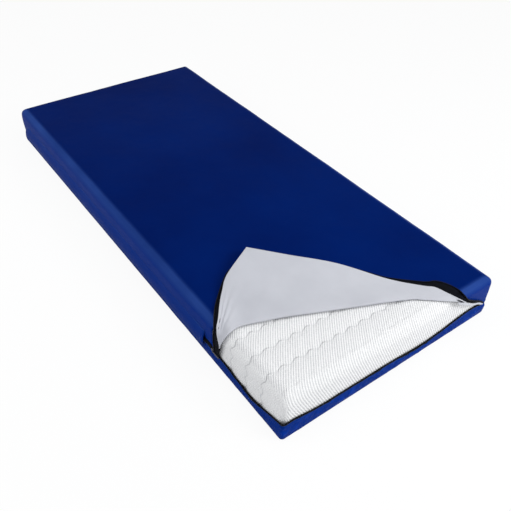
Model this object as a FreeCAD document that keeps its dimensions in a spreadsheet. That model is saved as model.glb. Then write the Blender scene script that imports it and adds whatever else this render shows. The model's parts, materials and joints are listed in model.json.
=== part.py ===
import FreeCAD, Part
import math
import os
import Sketcher

# Pressure relief mattress: a foam core in a quilted inner cover, inside a zipped outer cover.
# One corner of the outer cover is unzipped and laid back over the top.
# Millimetres. +X runs across the mattress, +Y towards the head end and +Z up.
# The origin is the centre of the face that the mattress lies on.

SIZES = [
    ("width", 900, "outer cover, side to side"),
    ("length", 2000, "outer cover, foot end to head end"),
    ("height", 170, "outer cover, resting face to top"),
    ("plan_radius", 35, "upright corners of the outer cover"),
    ("top_radius", 25, "edge between the top and the border"),
    ("hem_radius", 8, "edge between the base and the border"),
    ("fabric", 1.5, "coated cover fabric with its seam allowance"),
    ("zip_height", 56, "centre of the zip chain above the resting face"),
    ("seam_gap", 9, "chain centre to the fabric edge on either side"),
    ("zip_margin", 60, "head end of the zip to the head end of the cover"),
    ("tape_thickness", 1, "woven zip tape"),
    ("tape_reach", 20, "chain centre to the sewn edge of a tape"),
    ("tape_gap", 1.5, "chain centre to the free edge of a tape"),
    ("tape_show", 8, "tape standing clear of a loose fabric edge"),
    ("coil_gap", 1, "chain centre to each coil"),
    ("coil_height", 3.5, "one coil, across the chain"),
    ("coil_depth", 3.6, "one coil, out of the tape"),
    ("stop_length", 4, "stop at either end of the chain"),
    ("guard_start", 43, "lower end of the zip guard to the fold"),
    ("guard_top", 36, "sewn edge of the guard above the chain"),
    ("guard_knee", 24, "bend of the guard above the chain"),
    ("guard_drop", 12, "free edge of the guard below the chain"),
    ("guard_standoff", 11, "outside of the guard to the border"),
    ("guard_thickness", 1.2, "guard fabric"),
    ("guard_return", 2, "height of the guard seam on the border"),
    ("fold_side", 357, "foot end to the fold, along the side"),
    ("fold_far", 140, "far side to the fold, along the foot end"),
    ("fold_radius", 4.7, "rolled fabric along the fold"),
    ("fold_inset", 6, "end of the roll to the border"),
    ("flap_gap", 0.6, "flap panel to the fold line"),
    ("flap_angle", 176, "turn of the flap from closed to laid back"),
    ("flap_tip_radius", 8, "free corner of the flap"),
    ("pleat_gap", 0.3, "between the pleats of the gathered border"),
    ("pleat_end_side", 26, "gathered border to the fold, along the side"),
    ("pleat_end_foot", 82, "gathered border to the fold, along the foot end"),
    ("slider_length", 24, "slider body, along the chain"),
    ("slider_taper", 3.6, "nose to shoulder, along the slider"),
    ("slider_nose", 4, "half width of the slider at its nose"),
    ("slider_shoulder", 6.8, "half width of the slider at its shoulder"),
    ("slider_plate", 1.8, "slider plates"),
    ("slider_clear", 0.5, "slider to coil and tape"),
    ("slider_setback", 9, "slider centre to the fold"),
    ("bridge_length", 6, "post between the slider plates"),
    ("bridge_half", 0.7, "half thickness of that post"),
    ("lug_reach", 3.4, "pull lugs out of the outer plate"),
    ("lug_thickness", 1.2, "each pull lug"),
    ("lug_inner", 2.4, "chain centre to the inside of a lug"),
    ("pin_radius", 0.8, "pull pin"),
    ("pin_stand", 2.1, "pin axis to the outer plate"),
    ("pin_clear", 0.15, "pull eye to its pin and lugs"),
    ("eye_radius", 1.7, "eye of the pull"),
    ("pull_length", 34, "pin axis to the end of the pull"),
    ("pull_half", 4, "half width of the pull"),
    ("pull_neck", 7, "pin axis to the wide part of the pull"),
    ("pull_slope", 3, "neck to the wide part, along the pull"),
    ("pull_chamfer", 2, "cut corners at the end of the pull"),
    ("pull_thickness", 1.6, "pull"),
    ("pull_hole", 1.8, "finger hole in the pull, radius"),
    ("inner_ease", 4.5, "outer cover to inner cover at the sides"),
    ("inner_plan_radius", 45, "upright corners of the inner cover"),
    ("inner_top_radius", 40, "top edge of the inner cover"),
    ("knit", 2, "knitted skin of the inner cover"),
    ("wadding", 6, "fibre wadding quilted behind the top of the skin"),
    ("wadding_radius", 20, "upright corners of the wadding"),
    ("layer_gap", 0.3, "between one layer and the next"),
    ("overcut", 1, "cutting outlines past the faces that they cut"),
    ("base_foam", 44, "base layer of the core"),
    ("core_foam", 52, "cut relief layer of the core"),
    ("rail_width", 90, "firm side rail"),
    ("slot_width", 4, "cut between two relief blocks"),
    ("slot_depth", 36, "depth of those cuts"),
    ("slot_pitch_along", 100, "relief blocks, foot to head"),
    ("slot_pitch_across", 86, "relief blocks, side to side"),
]
PLEAT_PAIRS = 2  # the loose border is gathered into this many pairs of pleats
PLUMB = 0.01  # the most that an upright edge leans, in millimetres

os.makedirs("parts", exist_ok=True)
doc = FreeCAD.newDocument("pressure_relief_mattress")
sheet = doc.addObject("Spreadsheet::Sheet", "dim")
for row, (alias, value, note) in enumerate(SIZES, 1):
    sheet.set(f"A{row}", alias)
    sheet.set(f"B{row}", str(value))
    sheet.setAlias(f"B{row}", alias)
    sheet.set(f"C{row}", note)
doc.recompute()

sub_parts = []

# Places that several pieces share, as spreadsheet expressions.
SIDE = "-dim.width / 2"
FOOT = "-dim.length / 2"
FOLD_Y = "(-dim.length / 2 + dim.fold_side)"
FOLD_X = "(dim.width / 2 - dim.fold_far)"
FOLD_RUN = "(dim.width - dim.fold_far)"
FOLD_LENGTH = "sqrt(dim.fold_side ^ 2 + (dim.width - dim.fold_far) ^ 2)"
ZIP_HEAD = "(dim.length / 2 - dim.zip_margin)"
ZIP_FOOT = "(dim.width / 2 - dim.plan_radius)"
TAPE_FACE = "(-dim.width / 2 + dim.fabric)"
COIL_FACE = "(-dim.width / 2 + dim.fabric - dim.coil_depth)"
COIL_HALF = "(dim.coil_gap + dim.coil_height)"
EAR_TOP = "(dim.height - dim.top_radius)"
EAR_LOW = "(dim.zip_height + dim.seam_gap)"
SLIDER_Y = "(-dim.length / 2 + dim.fold_side - dim.slider_setback)"
INNER_INSET = "(dim.fabric + dim.inner_ease)"
FOAM_INSET = "(dim.fabric + dim.inner_ease + dim.knit + dim.layer_gap)"
FOAM_SHRINK = "(dim.knit + dim.layer_gap)"
INNER_FLOOR = "(dim.fabric + dim.layer_gap)"
FOAM_FLOOR = "(dim.fabric + dim.knit + 2 * dim.layer_gap)"
INNER_TOP = "(dim.height - dim.fabric - dim.layer_gap)"
WADDING_TOP = "(dim.height - dim.fabric - dim.knit - 2 * dim.layer_gap)"
FOAM_TOP = "(dim.height - dim.fabric - dim.knit - dim.wadding - 3 * dim.layer_gap)"


def value_of(name):
    return float(sheet.get(name))


def add_body(label):
    body = doc.addObject("PartDesign::Body", label)
    body.Label = label
    sub_parts.append(body)
    return body


def origin_feature(body, role):
    return next(f for f in body.Origin.OriginFeatures if f.Role == role)


def add_sketch(body, name, role, offset, points):
    """A closed outline of straight sides whose points are expressions."""
    sketch = body.newObject("Sketcher::SketchObject", name)
    sketch.AttachmentSupport = [(origin_feature(body, role), "")]
    sketch.MapMode = "FlatFace"
    sketch.setExpression("AttachmentOffset.Base.z", offset)
    count = len(points)
    turn = 2 * math.pi / count
    rough = [FreeCAD.Vector(math.cos(turn * i), math.sin(turn * i), 0) * 100 for i in range(count)]
    for i in range(count):
        sketch.addGeometry(Part.LineSegment(rough[i], rough[(i + 1) % count]))
    for i in range(count):
        sketch.addConstraint(Sketcher.Constraint("Coincident", i, 2, (i + 1) % count, 1))
    for i, (x, y) in enumerate(points):
        along = sketch.addConstraint(Sketcher.Constraint("DistanceX", -1, 1, i, 1, rough[i].x))
        sketch.setExpression(f"Constraints[{along}]", x)
        up = sketch.addConstraint(Sketcher.Constraint("DistanceY", -1, 1, i, 1, rough[i].y))
        sketch.setExpression(f"Constraints[{up}]", y)
    return sketch


def add_pad(body, name, sketch, length, reverse=False):
    pad = body.newObject("PartDesign::Pad", name)
    pad.Profile = sketch
    pad.Reversed = reverse
    pad.setExpression("Length", length)
    doc.recompute()
    return pad


def add_pocket(body, name, sketch, length):
    """Cuts against the sketch's normal, over the length given."""
    pocket = body.newObject("PartDesign::Pocket", name)
    pocket.Profile = sketch
    pocket.setExpression("Length", length)
    doc.recompute()
    return pocket


def edges_where(feature, test):
    return [f"Edge{i}" for i, edge in enumerate(feature.Shape.Edges, 1) if test(edge)]


def is_upright(edge):
    first, last = edge.Vertexes[0].Point, edge.Vertexes[-1].Point
    rise = abs(first.z - last.z)
    return rise > PLUMB and (first - last).Length - rise < PLUMB


def round_edges(body, name, feature, edges, radius):
    fillet = body.newObject("PartDesign::Fillet", name)
    fillet.Base = (feature, edges)
    fillet.setExpression("Radius", radius)
    doc.recompute()
    return fillet


def rectangle(half_x, half_y):
    return [
        (f"-({half_x})", f"-({half_y})"),
        (f"{half_x}", f"-({half_y})"),
        (f"{half_x}", f"{half_y}"),
        (f"-({half_x})", f"{half_y}"),
    ]


def rounded_block(label, inset, floor, top, plan_radius, edge_radius=None, edge_at="top"):
    """A mattress-shaped block: rounded corners in plan, and one rounded level edge."""
    body = add_body(label)
    outline = rectangle(f"dim.width / 2 - {inset}", f"dim.length / 2 - {inset}")
    sketch = add_sketch(body, label + "_plan", "XY_Plane", floor, outline)
    solid = add_pad(body, label + "_block", sketch, f"{top} - {floor}")
    solid = round_edges(body, label + "_corners", solid, edges_where(solid, is_upright), plan_radius)
    if edge_radius:
        box = solid.Shape.BoundBox
        level = box.ZMax if edge_at == "top" else box.ZMin
        rim = edges_where(solid, lambda e: abs(e.CenterOfMass.z - level) < 0.01)
        solid = round_edges(body, label + "_rim", solid, rim, edge_radius)
    return body, solid


def hollow(body, solid, thickness, open_at):
    """Leaves a skin of the thickness given, open at the face with the lowest or highest centre."""
    faces = solid.Shape.Faces
    order = sorted(range(len(faces)), key=lambda i: faces[i].CenterOfMass.z)
    chosen = order[0] if open_at == "bottom" else order[-1]
    shell = body.newObject("PartDesign::Thickness", solid.Name + "_skin")
    shell.Base = (solid, [f"Face{chosen + 1}"])
    shell.Reversed = True
    shell.Join = 0
    shell.setExpression("Value", thickness)
    doc.recompute()
    return shell


def add_bar(label, corner, size):
    bar = doc.addObject("Part::Box", label)
    bar.Label = label
    for axis, place in zip("xyz", corner):
        bar.setExpression(f"Placement.Base.{axis}", place)
    for side, length in zip(("Length", "Width", "Height"), size):
        bar.setExpression(side, length)
    sub_parts.append(bar)
    return bar


# ---- Outer cover: top, base and zip guard ------------------------------------------------


def build_cover_top():
    body, block = rounded_block(
        "cover_top", "0", EAR_LOW, "dim.height", "dim.plan_radius", "dim.top_radius"
    )
    hollow(body, block, "dim.fabric", "bottom")
    corner = [
        (f"{SIDE} - {FOLD_RUN} / 4", f"{FOOT} + dim.fold_side * 5 / 4"),
        (f"{SIDE} - {FOLD_RUN} / 4", f"{FOOT} - dim.fold_side / 4"),
        (f"{SIDE} + {FOLD_RUN} * 5 / 4", f"{FOOT} - dim.fold_side / 4"),
    ]
    opening = add_sketch(body, "opening_plan", "XY_Plane", "dim.height + dim.overcut", corner)
    add_pocket(body, "opening", opening, "dim.height")
    # The border between the fold and the far corner is unzipped too and hangs from the fold.
    slant = [
        (FOLD_X, EAR_TOP),
        (FOLD_X, f"{EAR_LOW} - dim.overcut"),
        (ZIP_FOOT, f"{EAR_LOW} - dim.overcut"),
        (ZIP_FOOT, EAR_LOW),
    ]
    lift = add_sketch(body, "ear_edge", "XZ_Plane", "dim.length / 2 + dim.overcut", slant)
    add_pocket(body, "ear_cut", lift, "dim.plan_radius")


def build_cover_base():
    body, block = rounded_block(
        "cover_base", "0", "0", EAR_LOW, "dim.plan_radius", "dim.hem_radius", "bottom"
    )
    hollow(body, block, "dim.fabric", "top")
    # The border is one piece up to the cover top, apart from the two sides that the zip opens.
    depth = "(dim.plan_radius * 2)"
    zipped = [
        (f"{SIDE} - dim.overcut", ZIP_HEAD),
        (f"{SIDE} - dim.overcut", f"{FOOT} - dim.overcut"),
        (ZIP_FOOT, f"{FOOT} - dim.overcut"),
        (ZIP_FOOT, f"{FOOT} + {depth}"),
        (f"{SIDE} + {depth}", f"{FOOT} + {depth}"),
        (f"{SIDE} + {depth}", ZIP_HEAD),
    ]
    sketch = add_sketch(body, "zip_sides", "XY_Plane", EAR_LOW, zipped)
    add_pocket(body, "zip_opening", sketch, "2 * dim.seam_gap")


def build_zip_guard():
    body = add_body("zip_guard")
    outside = f"{SIDE} - dim.guard_standoff"
    inside = f"{outside} + dim.guard_thickness"
    profile = [
        (SIDE, "dim.zip_height + dim.guard_top"),
        (outside, "dim.zip_height + dim.guard_knee"),
        (outside, "dim.zip_height - dim.guard_drop"),
        (inside, "dim.zip_height - dim.guard_drop"),
        (inside, "dim.zip_height + dim.guard_knee - dim.guard_thickness / 2"),
        (SIDE, "dim.zip_height + dim.guard_top - dim.guard_return"),
    ]
    start = f"({FOLD_Y} + dim.guard_start)"
    sketch = add_sketch(body, "guard_section", "XZ_Plane", f"-{start}", profile)
    add_pad(body, "guard", sketch, f"{ZIP_HEAD} - {start}", reverse=True)


# ---- Zip: tapes, coils and stops ---------------------------------------------------------


def bend_edges(feature):
    """Upright edges at the open corner, outermost first."""
    corner_x, corner_y = -value_of("width") / 2, -value_of("length") / 2
    limit = value_of("plan_radius") / 2

    def at_corner(edge):
        centre = edge.CenterOfMass
        return is_upright(edge) and math.hypot(centre.x - corner_x, centre.y - corner_y) < limit

    def outward(name):
        centre = feature.Shape.getElement(name).CenterOfMass
        return centre.x + centre.y

    return sorted(edges_where(feature, at_corner), key=outward)


def side_and_foot_band(label, inset, thickness, floor, height, end):
    """A band that runs down the side, round the open corner and along the foot end."""
    outer = f"({inset})"
    inner = f"({inset} + {thickness})"
    points = [
        (f"{SIDE} + {outer}", f"{ZIP_HEAD} - {end}"),
        (f"{SIDE} + {outer}", f"{FOOT} + {outer}"),
        (f"{ZIP_FOOT} - {end}", f"{FOOT} + {outer}"),
        (f"{ZIP_FOOT} - {end}", f"{FOOT} + {inner}"),
        (f"{SIDE} + {inner}", f"{FOOT} + {inner}"),
        (f"{SIDE} + {inner}", f"{ZIP_HEAD} - {end}"),
    ]
    body = add_body(label)
    sketch = add_sketch(body, label + "_plan", "XY_Plane", floor, points)
    band = add_pad(body, label + "_band", sketch, height)
    for name, depth in (("outer", outer), ("inner", inner)):
        bend = bend_edges(band)[:1]
        band = round_edges(body, f"{label}_{name}_bend", band, bend, f"dim.plan_radius - {depth}")


def build_lower_zip():
    side_and_foot_band(
        "zip_tape_lower",
        "dim.fabric",
        "dim.tape_thickness",
        "dim.zip_height - dim.tape_reach",
        "dim.tape_reach - dim.tape_gap",
        "0",
    )
    side_and_foot_band(
        "zip_coil_lower",
        "dim.fabric - dim.coil_depth",
        "dim.coil_depth",
        f"dim.zip_height - {COIL_HALF}",
        "dim.coil_height",
        "dim.stop_length",
    )


def build_upper_zip():
    body = add_body("zip_tape_upper")
    sewn = "dim.tape_reach - dim.seam_gap"
    outline = [
        (ZIP_HEAD, "dim.zip_height + dim.tape_gap"),
        (ZIP_HEAD, "dim.zip_height + dim.tape_reach"),
        (f"{FOLD_Y} + {sewn}", "dim.zip_height + dim.tape_reach"),
        (f"{FOLD_Y} + {sewn}", EAR_TOP),
        (f"{FOLD_Y} - dim.tape_show", EAR_TOP),
        (f"{FOLD_Y} - dim.tape_show", "dim.zip_height + dim.tape_gap"),
    ]
    sketch = add_sketch(body, "upper_tape_outline", "YZ_Plane", TAPE_FACE, outline)
    add_pad(body, "upper_tape", sketch, "dim.tape_thickness")
    add_bar(
        "zip_coil_upper",
        (COIL_FACE, FOLD_Y, "dim.zip_height + dim.coil_gap"),
        (
            "dim.coil_depth",
            f"{ZIP_HEAD} - dim.stop_length - {FOLD_Y}",
            "dim.coil_height",
        ),
    )


def build_ear_tape():
    body = add_body("zip_tape_ear")
    sewn = "dim.tape_reach - dim.seam_gap"
    outline = [
        (FOLD_X, f"{EAR_TOP} - dim.tape_show"),
        (ZIP_FOOT, f"{EAR_LOW} - dim.tape_show"),
        (ZIP_FOOT, f"{EAR_LOW} + {sewn}"),
        (f"{FOLD_X} + {sewn} * ({ZIP_FOOT} - {FOLD_X}) / ({EAR_TOP} - {EAR_LOW})", EAR_TOP),
        (FOLD_X, EAR_TOP),
    ]
    sketch = add_sketch(body, "ear_tape_outline", "XZ_Plane", "dim.length / 2 - dim.fabric", outline)
    add_pad(body, "ear_tape", sketch, "dim.tape_thickness", reverse=True)


def build_zip_stops():
    add_bar(
        "zip_stop_head",
        (COIL_FACE, f"{ZIP_HEAD} - dim.stop_length", f"dim.zip_height - {COIL_HALF}"),
        ("dim.coil_depth", "dim.stop_length", f"2 * {COIL_HALF}"),
    )
    add_bar(
        "zip_stop_foot",
        (
            f"{ZIP_FOOT} - dim.stop_length",
            f"{FOOT} + dim.fabric - dim.coil_depth",
            f"dim.zip_height - {COIL_HALF}",
        ),
        ("dim.stop_length", "dim.coil_depth", f"{COIL_HALF} - dim.tape_gap"),
    )


# ---- Slider and pull ---------------------------------------------------------------------


SHOULDER_REACH = "(dim.slider_length / 2 - dim.slider_taper)"


def slider_outline():
    """Outline of a slider plate: a straight nose that widens to the shoulder."""
    half = "dim.slider_length / 2"
    return [
        (f"{SLIDER_Y} + {half}", "dim.zip_height - dim.slider_nose"),
        (f"{SLIDER_Y} + {half}", "dim.zip_height + dim.slider_nose"),
        (f"{SLIDER_Y} + {SHOULDER_REACH}", "dim.zip_height + dim.slider_shoulder"),
        (f"{SLIDER_Y} - {SHOULDER_REACH}", "dim.zip_height + dim.slider_shoulder"),
        (f"{SLIDER_Y} - {half}", "dim.zip_height + dim.slider_nose"),
        (f"{SLIDER_Y} - {half}", "dim.zip_height - dim.slider_nose"),
        (f"{SLIDER_Y} - {SHOULDER_REACH}", "dim.zip_height - dim.slider_shoulder"),
        (f"{SLIDER_Y} + {SHOULDER_REACH}", "dim.zip_height - dim.slider_shoulder"),
    ]


def build_slider():
    body = add_body("zip_slider")
    inner_face = f"{TAPE_FACE} + dim.tape_thickness + dim.slider_clear"
    outer_face = f"{COIL_FACE} - dim.slider_clear"
    plate = slider_outline()
    inner = add_sketch(body, "inner_plate_outline", "YZ_Plane", inner_face, plate)
    add_pad(body, "inner_plate", inner, "dim.slider_plate")
    post_end = f"{SLIDER_Y} - dim.slider_length / 2"
    post = [
        (post_end, "dim.zip_height - dim.bridge_half"),
        (f"{post_end} + dim.bridge_length", "dim.zip_height - dim.bridge_half"),
        (f"{post_end} + dim.bridge_length", "dim.zip_height + dim.bridge_half"),
        (post_end, "dim.zip_height + dim.bridge_half"),
    ]
    bridge = add_sketch(body, "bridge_outline", "YZ_Plane", outer_face, post)
    span = "dim.coil_depth + dim.tape_thickness + 2 * dim.slider_clear"
    add_pad(body, "bridge", bridge, span)
    outer = add_sketch(body, "outer_plate_outline", "YZ_Plane", outer_face, plate)
    add_pad(body, "outer_plate", outer, "dim.slider_plate", reverse=True)
    for side in (1, -1):
        near = f"dim.zip_height + {side} * ({COIL_HALF} + dim.slider_clear)"
        far = f"dim.zip_height + {side} * dim.slider_shoulder"
        flange = [
            (f"{SLIDER_Y} - {SHOULDER_REACH}", near),
            (f"{SLIDER_Y} + {SHOULDER_REACH}", near),
            (f"{SLIDER_Y} + {SHOULDER_REACH}", far),
            (f"{SLIDER_Y} - {SHOULDER_REACH}", far),
        ]
        lip = add_sketch(body, f"flange_{side + 1}_outline", "YZ_Plane", outer_face, flange)
        add_pad(body, f"flange_{side + 1}", lip, "dim.coil_depth")
    pin_x = f"({outer_face} - dim.slider_plate - dim.pin_stand)"
    for side in (1, -1):
        near = f"dim.zip_height + {side} * dim.lug_inner"
        far = f"dim.zip_height + {side} * (dim.lug_inner + dim.lug_thickness)"
        lug = [
            (f"{SLIDER_Y} - dim.eye_radius", near),
            (f"{SLIDER_Y} + dim.eye_radius", near),
            (f"{SLIDER_Y} + dim.eye_radius", far),
            (f"{SLIDER_Y} - dim.eye_radius", far),
        ]
        stand = add_sketch(
            body, f"lug_{side + 1}_outline", "YZ_Plane", f"{outer_face} - dim.slider_plate", lug
        )
        add_pad(body, f"lug_{side + 1}", stand, "dim.lug_reach", reverse=True)
    pin = body.newObject("PartDesign::AdditiveCylinder", "pull_pin")
    pin.setExpression("Radius", "dim.pin_radius")
    pin.setExpression("Height", "2 * dim.lug_inner + dim.lug_thickness")
    pin.setExpression("Placement.Base.x", pin_x)
    pin.setExpression("Placement.Base.y", SLIDER_Y)
    pin.setExpression(
        "Placement.Base.z", "dim.zip_height - dim.lug_inner - dim.lug_thickness / 2"
    )
    doc.recompute()
    return pin_x


def build_pull(pin_x):
    body = add_body("zip_pull")
    eye = body.newObject("PartDesign::AdditiveCylinder", "pull_eye")
    eye.setExpression("Radius", "dim.eye_radius")
    eye.setExpression("Height", "2 * (dim.lug_inner - dim.pin_clear)")
    eye.setExpression("Placement.Base.x", pin_x)
    eye.setExpression("Placement.Base.y", SLIDER_Y)
    eye.setExpression("Placement.Base.z", "dim.zip_height - dim.lug_inner + dim.pin_clear")
    doc.recompute()
    neck = "(dim.lug_inner - dim.pin_clear)"
    wide_start = f"{SLIDER_Y} - dim.pull_neck - dim.pull_slope"
    pull_end = f"{SLIDER_Y} - dim.pull_length"
    outline = [
        (SLIDER_Y, f"dim.zip_height - {neck}"),
        (SLIDER_Y, f"dim.zip_height + {neck}"),
        (f"{SLIDER_Y} - dim.pull_neck", f"dim.zip_height + {neck}"),
        (wide_start, "dim.zip_height + dim.pull_half"),
        (f"{pull_end} + dim.pull_chamfer", "dim.zip_height + dim.pull_half"),
        (pull_end, "dim.zip_height + dim.pull_half - dim.pull_chamfer"),
        (pull_end, "dim.zip_height - dim.pull_half + dim.pull_chamfer"),
        (f"{pull_end} + dim.pull_chamfer", "dim.zip_height - dim.pull_half"),
        (wide_start, "dim.zip_height - dim.pull_half"),
        (f"{SLIDER_Y} - dim.pull_neck", f"dim.zip_height - {neck}"),
    ]
    sketch = add_sketch(
        body, "pull_outline", "YZ_Plane", f"{pin_x} - dim.pull_thickness / 2", outline
    )
    add_pad(body, "pull_plate", sketch, "dim.pull_thickness")
    bore = body.newObject("PartDesign::SubtractiveCylinder", "eye_bore")
    bore.setExpression("Radius", "dim.pin_radius + dim.pin_clear")
    bore.setExpression("Height", "2 * dim.pull_half")
    bore.setExpression("Placement.Base.x", pin_x)
    bore.setExpression("Placement.Base.y", SLIDER_Y)
    bore.setExpression("Placement.Base.z", "dim.zip_height - dim.pull_half")
    hole = body.newObject("PartDesign::SubtractiveCylinder", "finger_hole")
    hole.Placement.Rotation = FreeCAD.Rotation(FreeCAD.Vector(0, 1, 0), 90)
    hole.setExpression("Radius", "dim.pull_hole")
    hole.setExpression("Height", "2 * dim.pull_thickness")
    hole.setExpression("Placement.Base.x", f"{pin_x} - dim.pull_thickness")
    hole.setExpression("Placement.Base.y", f"{SLIDER_Y} - dim.pull_length + dim.pull_half")
    hole.setExpression("Placement.Base.z", "dim.zip_height")
    doc.recompute()


# ---- Flap: the unzipped corner, drawn closed and then laid back about the fold -------------


def fold_frame():
    """The fold's start, direction and height, from the sheet."""
    start = FreeCAD.Vector(
        -value_of("width") / 2,
        -value_of("length") / 2 + value_of("fold_side"),
        value_of("height") + value_of("fold_radius") + value_of("layer_gap"),
    )
    along = FreeCAD.Vector(value_of("width") - value_of("fold_far"), -value_of("fold_side"), 0)
    return start, along.normalize()


def lay_back(piece):
    start, along = fold_frame()
    turn = FreeCAD.Rotation(along, -value_of("flap_angle"))
    laid = FreeCAD.Placement(FreeCAD.Vector(0, 0, 0), turn, start)
    piece.Placement = laid.multiply(piece.Placement)


def build_flap_panel():
    body = add_body("flap_panel")
    side_gap = f"dim.flap_gap * {FOLD_LENGTH} / {FOLD_RUN}"
    foot_gap = f"dim.flap_gap * {FOLD_LENGTH} / dim.fold_side"
    outline = [
        (SIDE, FOOT),
        (f"{FOLD_X} - {foot_gap}", FOOT),
        (SIDE, f"{FOLD_Y} - {side_gap}"),
    ]
    sketch = add_sketch(body, "flap_outline", "XY_Plane", "dim.height - dim.fabric", outline)
    panel = add_pad(body, "flap_sheet", sketch, "dim.fabric")
    corner = FreeCAD.Vector(-value_of("width") / 2, -value_of("length") / 2, value_of("height"))

    def at_tip(edge):
        reach = min(v.Point.distanceToPoint(corner) for v in edge.Vertexes)
        return is_upright(edge) and reach < value_of("fabric")

    tip = edges_where(panel, at_tip)
    round_edges(body, "flap_tip", panel, tip, "dim.flap_tip_radius")
    lay_back(body)


def build_flap_fold():
    roll = doc.addObject("Part::Cylinder", "flap_fold")
    roll.Label = "flap_fold"
    roll.setExpression("Radius", "dim.fold_radius")
    roll.setExpression("Height", f"{FOLD_LENGTH} - 2 * dim.fold_inset")
    start, along = fold_frame()
    roll.Placement.Rotation = FreeCAD.Rotation(FreeCAD.Vector(0, 0, 1), along)
    roll.Placement.Base = start + along * value_of("fold_inset")
    lay_back(roll)
    sub_parts.append(roll)


PLEAT_WIDTH = f"(dim.height - {EAR_LOW}) / {2 * PLEAT_PAIRS}"
PLEAT_PITCH = "(dim.fabric + dim.pleat_gap)"
PLEAT_TOP = f"(dim.height + {2 * PLEAT_PAIRS} * {PLEAT_PITCH})"


def pleat_section(edge):
    """Section of the gathered border: a band folded to and fro above the panel's edge."""
    far = f"{edge} + {PLEAT_WIDTH}"
    points = []
    for pair in range(PLEAT_PAIRS):
        low = f"dim.height + dim.pleat_gap + {2 * pair} * {PLEAT_PITCH}"
        high = f"dim.height + dim.pleat_gap + {2 * pair + 1} * {PLEAT_PITCH} + dim.fabric"
        near = edge if pair == 0 else f"{edge} + dim.fabric"
        points += [(near, low), (far, low), (far, high)]
        points.append((edge if pair == PLEAT_PAIRS - 1 else f"{edge} + dim.fabric", high))
    for pair in reversed(range(PLEAT_PAIRS)):
        upper = f"dim.height + dim.pleat_gap + {2 * pair + 1} * {PLEAT_PITCH}"
        lower = f"dim.height + dim.pleat_gap + {2 * pair} * {PLEAT_PITCH} + dim.fabric"
        inside = f"{far} - dim.fabric"
        points += [(edge, upper), (inside, upper), (inside, lower), (edge, lower)]
    return points


def build_flap_borders():
    side = add_body("flap_border_side")
    start = f"({FOOT} + {PLEAT_WIDTH} + dim.fabric)"
    section = add_sketch(side, "side_pleats", "XZ_Plane", f"-{start}", pleat_section(SIDE))
    length = f"{FOLD_Y} - dim.pleat_end_side - {start}"
    add_pad(side, "side_gather", section, length, reverse=True)
    lay_back(side)
    foot = add_body("flap_border_foot")
    start = f"({SIDE} + dim.fabric)"
    section = add_sketch(foot, "foot_pleats", "YZ_Plane", start, pleat_section(FOOT))
    length = f"{FOLD_X} - dim.pleat_end_foot - {start}"
    add_pad(foot, "foot_gather", section, length)
    lay_back(foot)


def build_flap_zip():
    sewn = "(dim.tape_reach - dim.seam_gap)"
    side_start = f"({FOOT} + {PLEAT_WIDTH} + dim.fabric)"
    side_run = f"{FOLD_Y} - dim.pleat_end_side - {side_start}"
    foot_start = f"({SIDE} + {PLEAT_WIDTH} + dim.fabric)"
    foot_run = f"{FOLD_X} - dim.pleat_end_foot - {foot_start}"
    reach = f"dim.tape_show + {sewn}"
    coil_floor = f"{PLEAT_TOP} - dim.coil_depth"
    pieces = [
        add_bar(
            "flap_tape_side",
            (f"{SIDE} - dim.tape_show", side_start, PLEAT_TOP),
            (reach, side_run, "dim.tape_thickness"),
        ),
        add_bar(
            "flap_tape_foot",
            (foot_start, f"{FOOT} - dim.tape_show", PLEAT_TOP),
            (foot_run, reach, "dim.tape_thickness"),
        ),
        add_bar(
            "flap_coil_side",
            (f"{SIDE} - dim.tape_show", side_start, coil_floor),
            ("dim.coil_height", side_run, "dim.coil_depth"),
        ),
        add_bar(
            "flap_coil_foot",
            (foot_start, f"{FOOT} - dim.tape_show", coil_floor),
            (foot_run, "dim.coil_height", "dim.coil_depth"),
        ),
    ]
    doc.recompute()
    for piece in pieces:
        for axis in "xyz":
            piece.setExpression(f"Placement.Base.{axis}", None)
        lay_back(piece)


# ---- Inner cover, wadding and foam core --------------------------------------------------


def build_inner_cover():
    body, block = rounded_block(
        "inner_cover_top",
        INNER_INSET,
        FOAM_FLOOR,
        INNER_TOP,
        "dim.inner_plan_radius",
        "dim.inner_top_radius",
    )
    hollow(body, block, "dim.knit", "bottom")
    rounded_block(
        "inner_cover_base",
        INNER_INSET,
        INNER_FLOOR,
        f"({INNER_FLOOR} + dim.knit)",
        "dim.inner_plan_radius",
    )
    rounded_block(
        "inner_wadding",
        f"({FOAM_INSET} + dim.inner_top_radius - {FOAM_SHRINK})",
        f"({FOAM_TOP} + dim.layer_gap)",
        WADDING_TOP,
        "dim.wadding_radius",
    )


def slot_pattern(body, name, slot, axis, pitch, span):
    pattern = body.newObject("PartDesign::LinearPattern", name)
    pattern.Originals = [slot]
    pattern.Direction = (origin_feature(body, axis), [""])
    body.Tip = pattern
    count = f"floor({span} / {pitch})"
    pattern.setExpression("Occurrences", count)
    pattern.setExpression("Length", f"{pitch} * ({count} - 1)")
    doc.recompute()
    return pattern


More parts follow.
